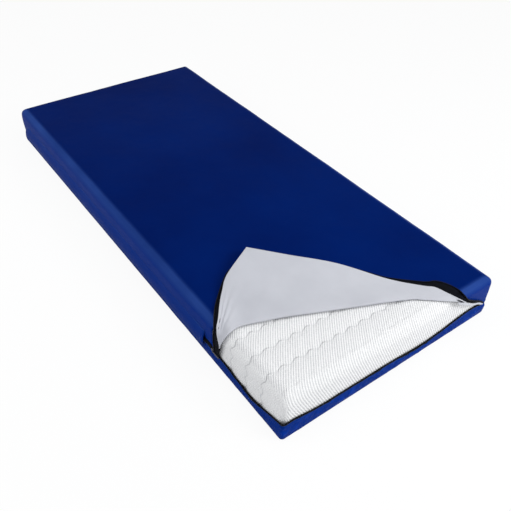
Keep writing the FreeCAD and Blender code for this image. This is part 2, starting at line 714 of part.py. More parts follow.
def build_foam_core():
    foam_radius = f"dim.inner_plan_radius - {FOAM_SHRINK}"
    base_top = f"({FOAM_FLOOR} + dim.base_foam)"
    core_floor = f"({FOAM_FLOOR} + dim.base_foam + dim.layer_gap)"
    core_top = f"({core_floor} + dim.core_foam)"
    rounded_block("foam_base", FOAM_INSET, FOAM_FLOOR, base_top, foam_radius)
    rounded_block(
        "foam_visco_top",
        FOAM_INSET,
        f"({core_top} + dim.layer_gap)",
        FOAM_TOP,
        foam_radius,
        f"dim.inner_top_radius - {FOAM_SHRINK}",
    )
    half_width = f"(dim.width / 2 - {FOAM_INSET})"
    half_length = f"(dim.length / 2 - {FOAM_INSET})"
    for name, sign in (("foam_rail_left", "-"), ("foam_rail_right", "")):
        outer = f"{sign}{half_width}"
        inner = f"{sign}({half_width} - dim.rail_width)"
        rail = add_body(name)
        outline = [
            (outer, f"-{half_length}"),
            (outer, half_length),
            (inner, half_length),
            (inner, f"-{half_length}"),
        ]
        sketch = add_sketch(rail, name + "_plan", "XY_Plane", core_floor, outline)
        block = add_pad(rail, name + "_block", sketch, "dim.core_foam")
        middle = abs(block.Shape.BoundBox.Center.x)
        ends = edges_where(block, lambda e: is_upright(e) and abs(e.CenterOfMass.x) > middle)
        round_edges(rail, name + "_ends", block, ends, foam_radius)
    core_half = f"({half_width} - dim.rail_width - dim.layer_gap)"
    core = add_body("foam_core")
    sketch = add_sketch(core, "core_plan", "XY_Plane", core_floor, rectangle(core_half, half_length))
    add_pad(core, "core_block", sketch, "dim.core_foam")
    along_count = f"floor(2 * {half_length} / dim.slot_pitch_along)"
    first_y = f"(-dim.slot_pitch_along * ({along_count} - 1) / 2)"
    across = [
        (f"-{core_half} - dim.overcut", f"{first_y} - dim.slot_width / 2"),
        (f"{core_half} + dim.overcut", f"{first_y} - dim.slot_width / 2"),
        (f"{core_half} + dim.overcut", f"{first_y} + dim.slot_width / 2"),
        (f"-{core_half} - dim.overcut", f"{first_y} + dim.slot_width / 2"),
    ]
    sketch = add_sketch(core, "cross_slot", "XY_Plane", core_top, across)
    slot = add_pocket(core, "cross_cut", sketch, "dim.slot_depth")
    slot_pattern(core, "cross_cuts", slot, "Y_Axis", "dim.slot_pitch_along", f"(2 * {half_length})")
    across_count = f"floor(2 * {core_half} / dim.slot_pitch_across)"
    first_x = f"(-dim.slot_pitch_across * ({across_count} - 1) / 2)"
    along = [
        (f"{first_x} - dim.slot_width / 2", f"-{half_length} - dim.overcut"),
        (f"{first_x} + dim.slot_width / 2", f"-{half_length} - dim.overcut"),
        (f"{first_x} + dim.slot_width / 2", f"{half_length} + dim.overcut"),
        (f"{first_x} - dim.slot_width / 2", f"{half_length} + dim.overcut"),
    ]
    sketch = add_sketch(core, "long_slot", "XY_Plane", core_top, along)
    slot = add_pocket(core, "long_cut", sketch, "dim.slot_depth")
    slot_pattern(core, "long_cuts", slot, "X_Axis", "dim.slot_pitch_across", f"(2 * {core_half})")


build_cover_top()
build_cover_base()
build_zip_guard()
build_lower_zip()
build_upper_zip()
build_ear_tape()
build_zip_stops()
build_pull(build_slider())
build_flap_panel()
build_flap_fold()
build_flap_borders()
build_flap_zip()
build_inner_cover()
build_foam_core()
doc.recompute()

for feature in doc.Objects:
    if "Invalid" in feature.State or "Error" in feature.State:
        raise RuntimeError(f"{feature.Name} did not build: {feature.State}")
for piece in sub_parts:
    if piece.Shape.isNull() or not piece.Shape.isValid():
        raise RuntimeError(f"{piece.Label} has no valid shape")
    piece.Shape.exportStep(f"parts/{piece.Label}.step")
    box = piece.Shape.BoundBox
    print(f"{piece.Label}: {len(piece.Shape.Solids)} solid, z {box.ZMin:.1f} to {box.ZMax:.1f}")
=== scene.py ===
import json
import math

import bmesh
import bpy
import numpy as np
from mathutils import Matrix, Vector, noise


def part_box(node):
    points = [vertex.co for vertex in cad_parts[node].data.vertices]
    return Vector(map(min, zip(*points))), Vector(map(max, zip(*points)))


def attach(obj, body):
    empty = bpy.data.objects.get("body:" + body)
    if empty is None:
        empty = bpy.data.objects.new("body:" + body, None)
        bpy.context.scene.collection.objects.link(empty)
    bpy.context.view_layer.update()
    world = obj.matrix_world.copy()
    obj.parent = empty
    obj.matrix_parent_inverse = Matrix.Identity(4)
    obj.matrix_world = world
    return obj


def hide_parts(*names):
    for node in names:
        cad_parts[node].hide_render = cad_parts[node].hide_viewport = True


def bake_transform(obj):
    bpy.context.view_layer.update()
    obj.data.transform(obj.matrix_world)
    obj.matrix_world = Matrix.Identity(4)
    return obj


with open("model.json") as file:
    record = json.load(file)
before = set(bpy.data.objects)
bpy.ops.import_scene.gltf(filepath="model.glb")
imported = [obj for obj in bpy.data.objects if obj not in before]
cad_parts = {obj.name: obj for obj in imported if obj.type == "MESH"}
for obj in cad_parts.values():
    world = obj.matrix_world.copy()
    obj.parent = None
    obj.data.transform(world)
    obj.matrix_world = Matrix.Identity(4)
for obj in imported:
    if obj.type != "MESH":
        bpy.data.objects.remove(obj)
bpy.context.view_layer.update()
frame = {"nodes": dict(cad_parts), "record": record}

# ---- Places taken from the frame ----

TOP_LO, TOP_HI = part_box("cover_top")
INNER_LO, INNER_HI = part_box("inner_cover_top")
GUARD_LO, GUARD_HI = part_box("zip_guard")
HALF_X, HALF_Y, HEIGHT = TOP_HI[0], TOP_HI[1], TOP_HI[2]
COIL_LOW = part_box("zip_coil_lower")[1][2]
COIL_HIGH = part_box("zip_coil_upper")[0][2]
ZIP_Z = (COIL_LOW + COIL_HIGH) / 2
ZIP_HEAD_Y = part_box("zip_tape_upper")[1][1]
ZIP_FOOT_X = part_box("zip_tape_lower")[1][0]
SEAM_HIGH = TOP_LO[2]
SEAM_LOW = 2 * ZIP_Z - SEAM_HIGH

JOINTS = {j["name"]: j for j in frame["record"]["behaviour"]["joints"]}
FOLD = JOINTS["corner_flap_fold"]
FOLD_POS = Vector(FOLD["pos_m"])
FOLD_AXIS = Vector(FOLD["axis"]).normalized()
FOLD_OPEN = math.radians(FOLD["range_deg"][1])
HEADWARD = Vector((0, 0, 1)).cross(FOLD_AXIS).normalized()
FOLD_END = FOLD_POS + FOLD_AXIS * ((-HALF_Y - FOLD_POS.y) / FOLD_AXIS.y)

# ---- Sizes of the cloth, in metres ----

PLAN_RADIUS = 0.011  # upright corners of the cover, seen from above
EDGE_RADIUS = 0.034  # between the cover's walls and its top
HEM_RADIUS = 0.006  # between its walls and its underside
LEAST_RADIUS = 0.006  # inner rings of either
INNER_PLAN_RADIUS = 0.022
INNER_EDGE_RADIUS = 0.040
FLOOR_GAP = 0.0003

CLOTH = 0.0012
GUARD_EASE = 0.009  # how far the lip over the zip reaches past its solid, up and down
ROLL = 0.0045  # radius of the flap's fold
CURL = 0.0028  # radius of its free edge
TUCK = 0.040  # border turned in under the free edge
UNDERLAP = 0.014  # cloth that runs on under the fold
FLAP_STAND = 0.0080  # the flap off the cover's walls
TAPE_STAND = 0.0046  # the flap's zip tape off the closed cover's form

TAPE_WIDTH = 0.015
TAPE_THICKNESS = 0.0009
TAPE_DISH = 0.0016
TOOTH_PITCH = 0.0034
TOOTH_LONG, TOOTH_WIDE, TOOTH_TALL, TOOTH_LEAN = 0.0036, 0.0021, 0.0030, 0.0012
COIL_BACK, COIL_OUT = 0.0030, 0.0010  # the coil from the zip line, towards its tape and out

QUILT_PITCH = 0.078
QUILT_FIRST = 0.031
QUILT_START = -HALF_Y + 0.065
SCALLOP_LENGTH = 0.052
SCALLOP_DEPTH = 0.0048
TOP_QUILT_DEPTH = 0.0045
SIDE_QUILT_DEPTH = 0.0036
WALL_PUFF = 0.0026
KNIT_THICKNESS = 0.0016
RIB_PITCH = 0.0073
RIB_ACROSS, RIB_ALONG, RIB_UP = 0.796, 0.605, 0.405  # which way the ribs follow each other
STITCH_PITCH = 0.0110

# ---- Camera and light ----

CAMERA_PLACE = (-1.1600, -1.7768, 1.6196)
CAMERA_AZIMUTH, CAMERA_TILT, CAMERA_ROLL = 37.23, 38.015, 1.99  # degrees
LENS_MM, SENSOR_MM, LENS_SHIFT = 44.914, 36.0, -0.0695
LAMPS = (  # name, place, aimed at, width and height, watts
    ("front_softbox", (2.0, -3.4, 2.4), (0, -0.7, 0.1), (2.0, 1.4), 98),
    ("side_softbox", (-3.0, 1.0, 2.5), (-0.3, 0.1, 0.15), (2.2, 1.4), 40),
    ("overhead_softbox", (0.2, -1.2, 3.6), (0, -0.5, 0.1), (2.0, 2.0), 30),
)
SKY_COLOUR, SKY_STRENGTH = (0.93, 0.95, 1.0), 0.46
FLOOR_REACH, FLOOR_GREY, FLOOR_GLOW = 12.0, 0.9, 0.92


# ---- Small numeric helpers ----


def smooth(t):
    t = np.clip(t, 0, 1)
    return t * t * (3 - 2 * t)


def bell(distance, width):
    return np.exp(-((distance / width) ** 2))


def cloth_noise(points, scale, seed):
    """Smooth noise from -1 to 1 at each point; scale is the size of a lump in metres."""
    shift = Vector((seed * 17.3, seed * 5.1, seed * 9.7))
    flat = points.reshape(-1, 3)
    values = [noise.noise(Vector(p) / scale + shift) for p in flat]
    return np.array(values).reshape(points.shape[:-1])


def unit(vectors):
    length = np.linalg.norm(vectors, axis=-1, keepdims=True)
    return vectors / np.maximum(length, 1e-9)


def run_along(points):
    """Distance along a run of points, at each of them."""
    step = np.linalg.norm(np.diff(points, axis=0), axis=1)
    return np.concatenate([[0], np.cumsum(step)])


def sample(values, run, places):
    return np.stack([np.interp(places, run, values[:, k]) for k in range(3)], axis=1)


def curve_through(controls, count):
    """Evenly spaced points on a smooth curve through the control points."""
    p = np.array([list(c) for c in controls], float)
    padded = np.vstack([2 * p[0] - p[1], p, 2 * p[-1] - p[-2]])
    dense = []
    for i in range(len(p) - 1):
        a, b, c, d = padded[i : i + 4]
        for t in np.linspace(0, 1, 60, endpoint=False):
            cubic = -a + 3 * b - 3 * c + d
            square = 2 * a - 5 * b + 4 * c - d
            dense.append(0.5 * (2 * b + (c - a) * t + square * t**2 + cubic * t**3))
    dense = np.array(dense + [p[-1]])
    run = run_along(dense)
    return sample(dense, run, np.linspace(0, run[-1], count))


# ---- Mesh helpers ----


def add_object(name, data):
    made = bpy.data.objects.new(name, data)
    bpy.context.scene.collection.objects.link(made)
    return made


def smooth_faces(mesh):
    mesh.polygons.foreach_set("use_smooth", [True] * len(mesh.polygons))


def new_object(name, points, faces, materials, body):
    mesh = bpy.data.meshes.new(name)
    mesh.from_pydata([tuple(p) for p in points], [], faces)
    mesh.validate()
    for material in materials:
        mesh.materials.append(material)
    smooth_faces(mesh)
    piece = add_object(name, mesh)
    if body:
        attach(piece, body)
    return piece


def grid_faces(rows, columns, closed=False, start=0):
    """Faces between the rows of a grid; a closed grid's last column meets its first."""
    faces = []
    for low in range(start, start + (rows - 1) * columns, columns):
        high = low + columns
        for c in range(columns if closed else columns - 1):
            c2 = (c + 1) % columns
            faces.append((low + c, low + c2, high + c2, high + c))
    return faces


def grid_object(name, grid, materials, body, closed=False):
    faces = grid_faces(*grid.shape[:2], closed)
    return new_object(name, grid.reshape(-1, 3), faces, materials, body)


def edit_mesh(piece, action):
    work = bmesh.new()
    work.from_mesh(piece.data)
    action(work)
    work.to_mesh(piece.data)
    work.free()
    piece.data.update()
    smooth_faces(piece.data)


def merge_doubles(piece):
    edit_mesh(piece, lambda work: bmesh.ops.remove_doubles(work, verts=work.verts, dist=1e-5))


def thicken(piece, thickness, inside_slot=0, rim_slot=0):
    """Gives a cloth its thickness, on the side away from its normals, and keeps the result."""
    solid = piece.modifiers.new("thickness", "SOLIDIFY")
    solid.thickness = thickness
    solid.offset = -1
    solid.material_offset = inside_slot
    solid.material_offset_rim = rim_slot
    bpy.context.view_layer.update()
    graph = bpy.context.evaluated_depsgraph_get()
    mesh = bpy.data.meshes.new_from_object(piece.evaluated_get(graph))
    piece.modifiers.clear()
    piece.data = mesh
    smooth_faces(mesh)


# ---- Materials ----


def set_inputs(node, values):
    for socket, value in values.items():
        node.inputs[socket].default_value = value


class Shader:
    """A material with one Principled shader and short calls for the nodes that feed it."""

    def __init__(self, name, roughness, specular=0.35, sheen=0.0, coat=0.0, ior=1.45):
        self.material = bpy.data.materials.new(name)
        self.material.use_nodes = True
        self.tree = self.material.node_tree
        self.bsdf = self.tree.nodes["Principled BSDF"]
        look = {"Roughness": roughness, "Specular IOR Level": specular, "IOR": ior}
        look |= {"Sheen Weight": sheen, "Sheen Roughness": 0.45}
        look |= {"Coat Weight": coat, "Coat Roughness": 0.35}
        set_inputs(self.bsdf, look)
        self.place = self.node("ShaderNodeTexCoord").outputs["Object"]
        self.colour = self.height = None

    def node(self, kind, **settings):
        made = self.tree.nodes.new(kind)
        for key, value in settings.items():
            setattr(made, key, value)
        return made

    def link(self, output, socket):
        self.tree.links.new(output, socket)

    def math(self, operation, first, second=0.0):
        made = self.node("ShaderNodeMath", operation=operation)
        for socket, value in zip(made.inputs, (first, second)):
            if isinstance(value, (int, float)):
                socket.default_value = value
            else:
                self.link(value, socket)
        return made.outputs[0]

    def plus(self, first, second):
        return self.math("ADD", first, second)

    def minus(self, first, second):
        return self.math("SUBTRACT", first, second)

    def times(self, first, second):
        return self.math("MULTIPLY", first, second)

    def size(self, value):
        return self.math("ABSOLUTE", value)

    def axes(self, vector=None):
        split = self.node("ShaderNodeSeparateXYZ")
        self.link(self.place if vector is None else vector, split.inputs[0])
        return split.outputs

    def noise(self, scale, detail=3.0):
        made = self.node("ShaderNodeTexNoise")
        set_inputs(made, {"Scale": scale, "Detail": detail, "Roughness": 0.55})
        self.link(self.place, made.inputs["Vector"])
        return made.outputs["Fac"]

    def waves(self, coordinate, pitch):
        """A wave from 0 to 1 along a coordinate, one crest per pitch."""
        angle = self.times(coordinate, 2 * math.pi / pitch)
        # The node's third input, which it adds, is 0.5 as made.
        return self.math("MULTIPLY_ADD", self.math("SINE", angle), 0.5)

    def range(self, value, low, high, start=0.0, end=1.0):
        span = self.node("ShaderNodeMapRange")
        set_inputs(span, {"From Min": low, "From Max": high, "To Min": start, "To Max": end})
        self.link(value, span.inputs["Value"])
        return span.outputs["Result"]

    def paint(self, output):
        self.colour = output
        self.link(output, self.bsdf.inputs["Base Color"])

    def tint(self, factor, dark, light, low=0.3, high=0.7):
        """Base colour that goes from dark to light as the factor goes from low to high."""
        ramp = self.node("ShaderNodeValToRGB")
        first, last = ramp.color_ramp.elements
        first.position, last.position = low, high
        first.color, last.color = (*dark, 1), (*light, 1)
        self.link(factor, ramp.inputs["Fac"])
        self.paint(ramp.outputs["Color"])

    def shade(self, factor, colour):
        """Lays a colour over what is there, as strongly as the factor says."""
        mix = self.node("ShaderNodeMix", data_type="RGBA")
        self.link(factor, mix.inputs["Factor"])
        self.link(self.colour, mix.inputs["A"])
        set_inputs(mix, {"B": (*colour, 1)})
        self.paint(mix.outputs["Result"])

    def roughen(self, factor, low, high):
        self.link(self.range(factor, 0.0, 1.0, low, high), self.bsdf.inputs["Roughness"])

    def bump(self, height, distance, strength=1.0):
        made = self.node("ShaderNodeBump")
        set_inputs(made, {"Distance": distance, "Strength": strength})
        self.link(height, made.inputs["Height"])
        if self.height is not None:
            self.link(self.height, made.inputs["Normal"])
        self.height = made.outputs["Normal"]
        self.link(self.height, self.bsdf.inputs["Normal"])


def coated_cloth(name, dark, light, border, painted_highlight, shine, roughness=0.42):
    """Stretch cloth with a polyurethane face: fine weave, soft creases, painted sheen that makes
    upright borders paler, and painted highlights on rounded edges and crease crests.
    """
    shader = Shader(name, roughness, specular=0.35, ior=1.1)
    set_inputs(shader.bsdf, {"Specular Tint": (*shine, 1)})
    x, y, z = shader.axes()
    across, along, pitch = shader.plus(x, z), shader.plus(y, z), 0.0011
    weave = shader.times(shader.waves(across, pitch), shader.waves(along, pitch))
    shader.tint(shader.noise(2.2, 4.0), dark, light)
    facing = shader.axes(shader.node("ShaderNodeNewGeometry").outputs["Normal"])
    level = shader.size(facing["Z"])
    # Painted sheen: upright faces are painted in the paler border colour, level ones keep the base
    # colour.
    shader.shade(shader.range(level, 0.9, 0.3), border)
    # Painted highlight: the rounded edges are painted paler, unevenly along their length.
    highlight_mask = shader.times(shader.range(level, 0.995, 0.88), shader.range(level, 0.2, 0.62))
    patchy = shader.range(shader.noise(3.0, 3.0), 0.25, 0.75, 0.3, 0.85)
    shader.shade(shader.times(highlight_mask, patchy), painted_highlight)
    # The slack lower border near the foot end is creased, with painted highlights on the crests.
    slack = shader.times(shader.range(z, 0.072, 0.055), shader.range(y, 0.2 - HALF_Y, -HALF_Y))
    crease = shader.times(shader.noise(26.0, 2.5), slack)
    crest = tuple(min(c * 1.9, 0.8) for c in border)
    # Painted highlight: the crests take a paler copy of the painted sheen colour.
    shader.shade(shader.times(shader.range(crease, 0.5, 0.68), 0.5), crest)
    shader.bump(crease, 0.012, 0.6)
    shader.roughen(shader.noise(9.0, 5.0), roughness - 0.07, roughness + 0.1)
    shader.bump(shader.noise(7.0, 4.0), 0.006, 0.35)
    shader.bump(shader.noise(48.0, 3.0), 0.0012, 0.3)
    shader.bump(weave, 0.00012, 0.5)
    return shader.material


def lining_cloth():
    shader = Shader("cover_lining", 0.75, specular=0.25, sheen=0.15)
    x, y, z = shader.axes()
    knit = shader.times(shader.waves(shader.plus(x, z), 0.0014), shader.waves(y, 0.002))
    shader.tint(shader.noise(5.0, 4.0), (0.50, 0.51, 0.55), (0.57, 0.58, 0.62))
    shader.bump(shader.noise(11.0, 4.0), 0.004, 0.35)
    shader.bump(knit, 0.0003, 0.5)
    return shader.material


def sewn_gap(shader, x, y, z):
    """Distance to the nearest sewn line, in the same scallops as the quilted surface."""
    across = shader.plus(shader.size(x), shader.minus(HEIGHT, z))
    wave = shader.math("SINE", shader.times(across, 2 * math.pi / SCALLOP_LENGTH))
    scallop = shader.times(wave, SCALLOP_DEPTH)
    ahead = shader.minus(shader.plus(y, HALF_Y - QUILT_FIRST), scallop)
    place = shader.math("DIVIDE", ahead, QUILT_PITCH)
    share = shader.size(shader.minus(place, shader.math("ROUND", place)))
    return shader.times(share, QUILT_PITCH)


def quilted_knit():
    """White ribbed knit: fine columns with small slanted stitches, sewn down in lines."""
    shader = Shader("inner_knit", 0.85, specular=0.2, sheen=0.1)
    x, y, z = shader.axes()
    on_side = shader.range(shader.size(x), INNER_HI[0] - 0.016, INNER_HI[0] - 0.006)
    lean = shader.minus(shader.times(z, RIB_UP), shader.times(y, RIB_ALONG))
    rib = shader.waves(shader.plus(shader.times(x, RIB_ACROSS), lean), RIB_PITCH)
    stitch = shader.waves(shader.plus(x, shader.plus(y, z)), STITCH_PITCH)
    level = shader.times(rib, shader.plus(shader.times(stitch, 0.4), 0.6))
    uneven = shader.times(shader.minus(shader.noise(150.0, 2.0), 0.5), 0.7)
    level = shader.plus(level, uneven)
    chevron = shader.plus(y, shader.times(shader.waves(z, RIB_PITCH * 2), 0.003))
    upright = shader.plus(shader.times(shader.waves(chevron, RIB_PITCH), 0.7), 0.3)
    knit = shader.node("ShaderNodeMix", data_type="FLOAT")
    for socket, output in (("Factor", on_side), ("A", level), ("B", upright)):
        shader.link(output, knit.inputs[socket])
    knit = knit.outputs["Result"]
    gap = sewn_gap(shader, x, y, z)
    on_quilt = shader.math("GREATER_THAN", y, QUILT_START)
    # Painted shade in the sewn lines is full where the scallop runs one way and weak where it runs
    # the other.
    turn = shader.times(shader.plus(shader.size(x), HEIGHT), 2 * math.pi / SCALLOP_LENGTH)
    rising = shader.times(shader.math("COSINE", turn), shader.math("SIGN", x))
    firm = shader.range(rising, -0.5, 0.6, 0.3, 1.0)
    line = shader.times(shader.range(gap, 0.0030, 0.0), shader.times(on_quilt, firm))
    near = shader.times(shader.range(gap, 0.012, 0.0), on_quilt)
    pucker = shader.times(shader.noise(95.0, 2.0), near)
    shader.tint(knit, (0.62, 0.625, 0.63), (0.86, 0.86, 0.855), 0.0, 0.45)
    # Painted shade: light grey beside the sewn lines and darker grey in them.
    shader.shade(shader.times(near, 0.08), (0.62, 0.63, 0.64))
    shader.shade(shader.times(line, 0.7), (0.36, 0.36, 0.37))
    shader.bump(pucker, 0.003, 0.5)
    shader.bump(shader.minus(1.0, line), 0.0016, 0.6)
    shader.bump(knit, 0.0015, 0.8)
    return shader.material


def woven_tape():
    shader = Shader("zip_tape_cloth", 0.85, specular=0.1)
    x, y, z = shader.axes()
    weave = shader.waves(shader.plus(shader.plus(x, y), z), 0.0012)
    shader.tint(shader.noise(80.0), (0.0015, 0.0017, 0.003), (0.005, 0.0055, 0.009))
    shader.bump(weave, 0.0003, 0.6)
    return shader.material


def moulded_plastic():
    shader = Shader("zip_coil_plastic", 0.45, specular=0.3)
    shader.tint(shader.noise(150.0), (0.002, 0.002, 0.003), (0.007, 0.007, 0.009))
    shader.bump(shader.noise(900.0), 0.0001, 0.3)
    return shader.material


def enamelled_metal():
    shader = Shader("zip_metal_enamel", 0.3, specular=0.5, coat=0.3)
    shader.tint(shader.noise(220.0), (0.012, 0.012, 0.014), (0.035, 0.035, 0.04))
    shader.roughen(shader.noise(500.0), 0.25, 0.45)
    shader.bump(shader.noise(700.0), 0.00008, 0.4)
    return shader.material


def cell_foam(name, dark, light):
    shader = Shader(name, 0.95, specular=0.1)
    cells = shader.node("ShaderNodeTexVoronoi")
    set_inputs(cells, {"Scale": 650.0})
    shader.link(shader.place, cells.inputs["Vector"])
    shader.tint(shader.noise(12.0, 5.0), dark, light)
    shader.bump(cells.outputs["Distance"], 0.0008, 0.7)
    return shader.material


NAVY_DARK, NAVY_LIGHT = (0.0, 0.0078, 0.088), (0.0, 0.0125, 0.122)
# NAVY_PAINTED_HIGHLIGHT is a painted highlight colour for the rounded edges.
# NAVY_PAINTED_SHEEN is a painted sheen colour for the upright faces.
NAVY_PAINTED_SHEEN, NAVY_PAINTED_HIGHLIGHT, NAVY_SHINE = (0.002, 0.025, 0.205), (0.026, 0.072, 0.30), (0.18, 0.42, 1.0)
PALE_DARK, PALE, PALE_LIGHT = (0.6, 0.6, 0.64), (0.7, 0.7, 0.74), (0.75, 0.75, 0.78)
BLUE = coated_cloth("cover_blue", NAVY_DARK, NAVY_LIGHT, NAVY_PAINTED_SHEEN, NAVY_PAINTED_HIGHLIGHT, NAVY_SHINE)
LINING = lining_cloth()
CUT_EDGE = coated_cloth("cover_cut_edge", PALE_DARK, PALE_LIGHT, PALE, PALE, PALE, roughness=0.7)
KNIT = quilted_knit()
TAPE = woven_tape()
COIL = moulded_plastic()
FIBRE = cell_foam("wadding_fibre", (0.8, 0.8, 0.78), (0.9, 0.9, 0.89))

SLOT_MATERIALS = {
    "cover_fabric": BLUE,
    "zip_tape": TAPE,
    "zip_coil": COIL,
    "zip_metal": enamelled_metal(),
    "knit": KNIT,
    "wadding": FIBRE,
    "foam_white": cell_foam("foam_soft", (0.78, 0.74, 0.62), (0.86, 0.83, 0.72)),
    "foam_firm": cell_foam("foam_firm", (0.4, 0.5, 0.58), (0.48, 0.58, 0.66)),
}


def dress_cad_nodes():
    slots = {s["node"]: s["material_slot"] for s in frame["record"]["subparts"]}
    for name, node in frame["nodes"].items():
        node.data.materials.clear()
        node.data.materials.append(SLOT_MATERIALS[slots[name]])


# ---- Rounded-rectangle rings that the covers are made of ----


def side_steps(length, fine_to, fine, coarse):
    """Positions from 0 to 1 along a side, finely spaced up to fine_to metres from its start."""
    places = [0.0]
    while places[-1] < length:
        step = fine if places[-1] < fine_to else coarse
        places.append(places[-1] + step)
    places = np.array(places[:-1] + [length])
    return places / length


class Plan:
    """Points round a rounded rectangle, from the open corner along the foot end and round."""

    def __init__(self, half_x, half_y, fine, coarse, right, left, right_fine=None, arc_steps=7):
        """Fine steps along the foot end and this far up the right and left sides."""
        self.half = (half_x, half_y)
        self.sides = (
            side_steps(2 * half_x, 2 * half_x, fine, fine),
            side_steps(2 * half_y, right, right_fine or fine, coarse),
            side_steps(2 * half_x, 0, coarse, coarse),
            1 - side_steps(2 * half_y, left, fine, coarse)[::-1],
        )
        self.arc_steps = arc_steps

    def ring(self, inset, radius):
        hx, hy = self.half[0] - inset, self.half[1] - inset
        radius = min(radius, hx * 0.999, hy * 0.999)
        starts = ((-hx, -hy), (hx, -hy), (hx, hy), (-hx, hy))
        ways = ((1, 0), (0, 1), (-1, 0), (0, -1))
        lengths = (2 * hx, 2 * hy, 2 * hx, 2 * hy)
        points, normals = [], []
        for start, way, length, steps in zip(starts, ways, lengths, self.sides):
            start, way = np.array(start, float), np.array(way, float)
            outward = np.array([way[1], -way[0]])
            centre = start + (way - outward) * radius
            for k in range(self.arc_steps):
                turn = (k / self.arc_steps - 1) * math.pi / 2
                direction = outward * math.cos(turn) + way * math.sin(turn)
                points.append(centre + direction * radius)
                normals.append(direction)
            for f in steps[:-1]:
                points.append(start + way * (radius + f * (length - 2 * radius)))
                normals.append(outward)
        return np.array(points), np.array(normals)


def cover_rows(wall_steps, arc_steps, radius, top, insets):
    """Wall, rounded edge, then level rings inward; each row is (inset, level, tilt, on_wall).

    The level is a height, but on the wall it is a share of the wall's height.
    """
    rows = [(0.0, k / wall_steps, 0.0, True) for k in range(wall_steps)]
    for k in range(arc_steps + 1):
        tilt = k / arc_steps * math.pi / 2
        inset, level = radius * (1 - math.cos(tilt)), top - radius * (1 - math.sin(tilt))
        rows.append((inset, level, tilt, False))
    return rows + [(inset, top, math.pi / 2, False) for inset in insets]


def ring_row(plan, inset, radius, z, tilt):
    """Points of a ring at height z, and its normals, which lean this far up."""
    points, outward = plan.ring(inset, radius)
    up = np.full(len(points), math.sin(tilt))
    points = np.column_stack([points, np.broadcast_to(z, len(points))])
    return points, np.column_stack([outward * math.cos(tilt), up])


def build_rings(plan, rows, plan_radius, low_edge, wall_top):
    """Points and normals of every ring. Walls start at low_edge, one height per column."""
    rings = []
    for inset, level, tilt, on_wall in rows:
        z = low_edge + (wall_top - low_edge) * level if on_wall else level
        rings.append(ring_row(plan, inset, max(plan_radius - inset, LEAST_RADIUS), z, tilt))
    return [np.array(part) for part in zip(*rings)]


def close_middle(grid):
    """Adds a last row on the long middle line, so that the rings end in a closed surface."""
    last = grid[-1].copy()
    reach = np.abs(last[:, 1]).max() - np.abs(last[:, 0]).max()
    last[:, 1] = np.clip(last[:, 1], -reach, reach)
    last[:, 0] = 0
    return np.concatenate([grid, last[None]])


# ---- Outer cover ----


def zip_edge_height(x, y):
    """Height of the zip line round the open corner, where the unzipped edge lifts and sags."""
    on_side = x < -HALF_X + 0.05
    to_corner = np.where(on_side, y + HALF_Y, x + HALF_X)
    lift = 0.022 * bell(to_corner, 0.10)
    side_sag = -0.017 * bell(y + 0.86, 0.11) * on_side
    foot_sag = -0.013 * bell(x - 0.14, 0.12) - 0.004 * bell(x, 0.2) + 0.009 * bell(x - 0.35, 0.08)
    opened = (y < FOLD_POS.y) & (x < ZIP_FOOT_X)
    return ZIP_Z + np.where(opened, lift + side_sag + foot_sag * ~on_side, 0.0)


def top_low_edge(x, y):
    """Lower edge of the top border: level, but drawn up to the fold beside the open corner."""
    share = (x - FOLD_END.x) / (ZIP_FOOT_X - FOLD_END.x)
    start = HEIGHT - EDGE_RADIUS - 0.004
    drawn = start - (start - SEAM_HIGH) * np.clip(share, 0, 1) ** 0.85
    return np.where((y < -HALF_Y + 0.02) & (x < ZIP_FOOT_X), drawn, SEAM_HIGH)


def build_cover_top():
    plan = Plan(HALF_X, HALF_Y, fine=0.012, coarse=0.03, right=0.5, left=0.5)
    insets = np.arange(EDGE_RADIUS + 0.014, HALF_X - 0.01, 0.016)
    rows = cover_rows(9, 9, EDGE_RADIUS, HEIGHT, insets)
    base, _ = plan.ring(0.0, PLAN_RADIUS)
    low = top_low_edge(base[:, 0], base[:, 1])
    grid, normals = build_rings(plan, rows, PLAN_RADIUS, low, HEIGHT - EDGE_RADIUS)
    grid, normals = close_middle(grid), np.concatenate([normals, normals[-1:]])
    # The border bellies out a little between its edges, and the whole cloth lies unevenly.
    wall = np.clip((grid[..., 2] - SEAM_HIGH) / (HEIGHT - SEAM_HIGH), 0, 1)
    level = normals[..., 2]
    belly = 0.0022 * np.sin(np.pi * wall) * (1 - level)
    lumps = 0.0019 + cloth_noise(grid, 0.16, 1) * 0.0013 + cloth_noise(grid, 0.05, 2) * 0.0006
    pull = cloth_noise(grid * np.array([1, 1, 0.35]), 0.035, 3) * 0.0010 * (1 - level)
    to_fold = (grid - np.array(FOLD_POS)) @ np.array(HEADWARD)
    calm = 1 - 0.75 * bell(to_fold, 0.10) * (1 - 0.5 * level)
    grid = grid + normals * (calm * (belly + lumps * (0.5 + 0.5 * level) + pull))[..., None]
    piece = grid_object("cover_top_cloth", grid, [BLUE, LINING], "mattress", True)
    merge_doubles(piece)

    def cut_corner(work):
        everything = work.verts[:] + work.edges[:] + work.faces[:]
        bmesh.ops.bisect_plane(
            work, geom=everything, plane_co=FOLD_POS, plane_no=HEADWARD, clear_inner=True
        )

    edit_mesh(piece, cut_corner)
    thicken(piece, CLOTH, inside_slot=1)
    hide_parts("cover_top")
    return piece


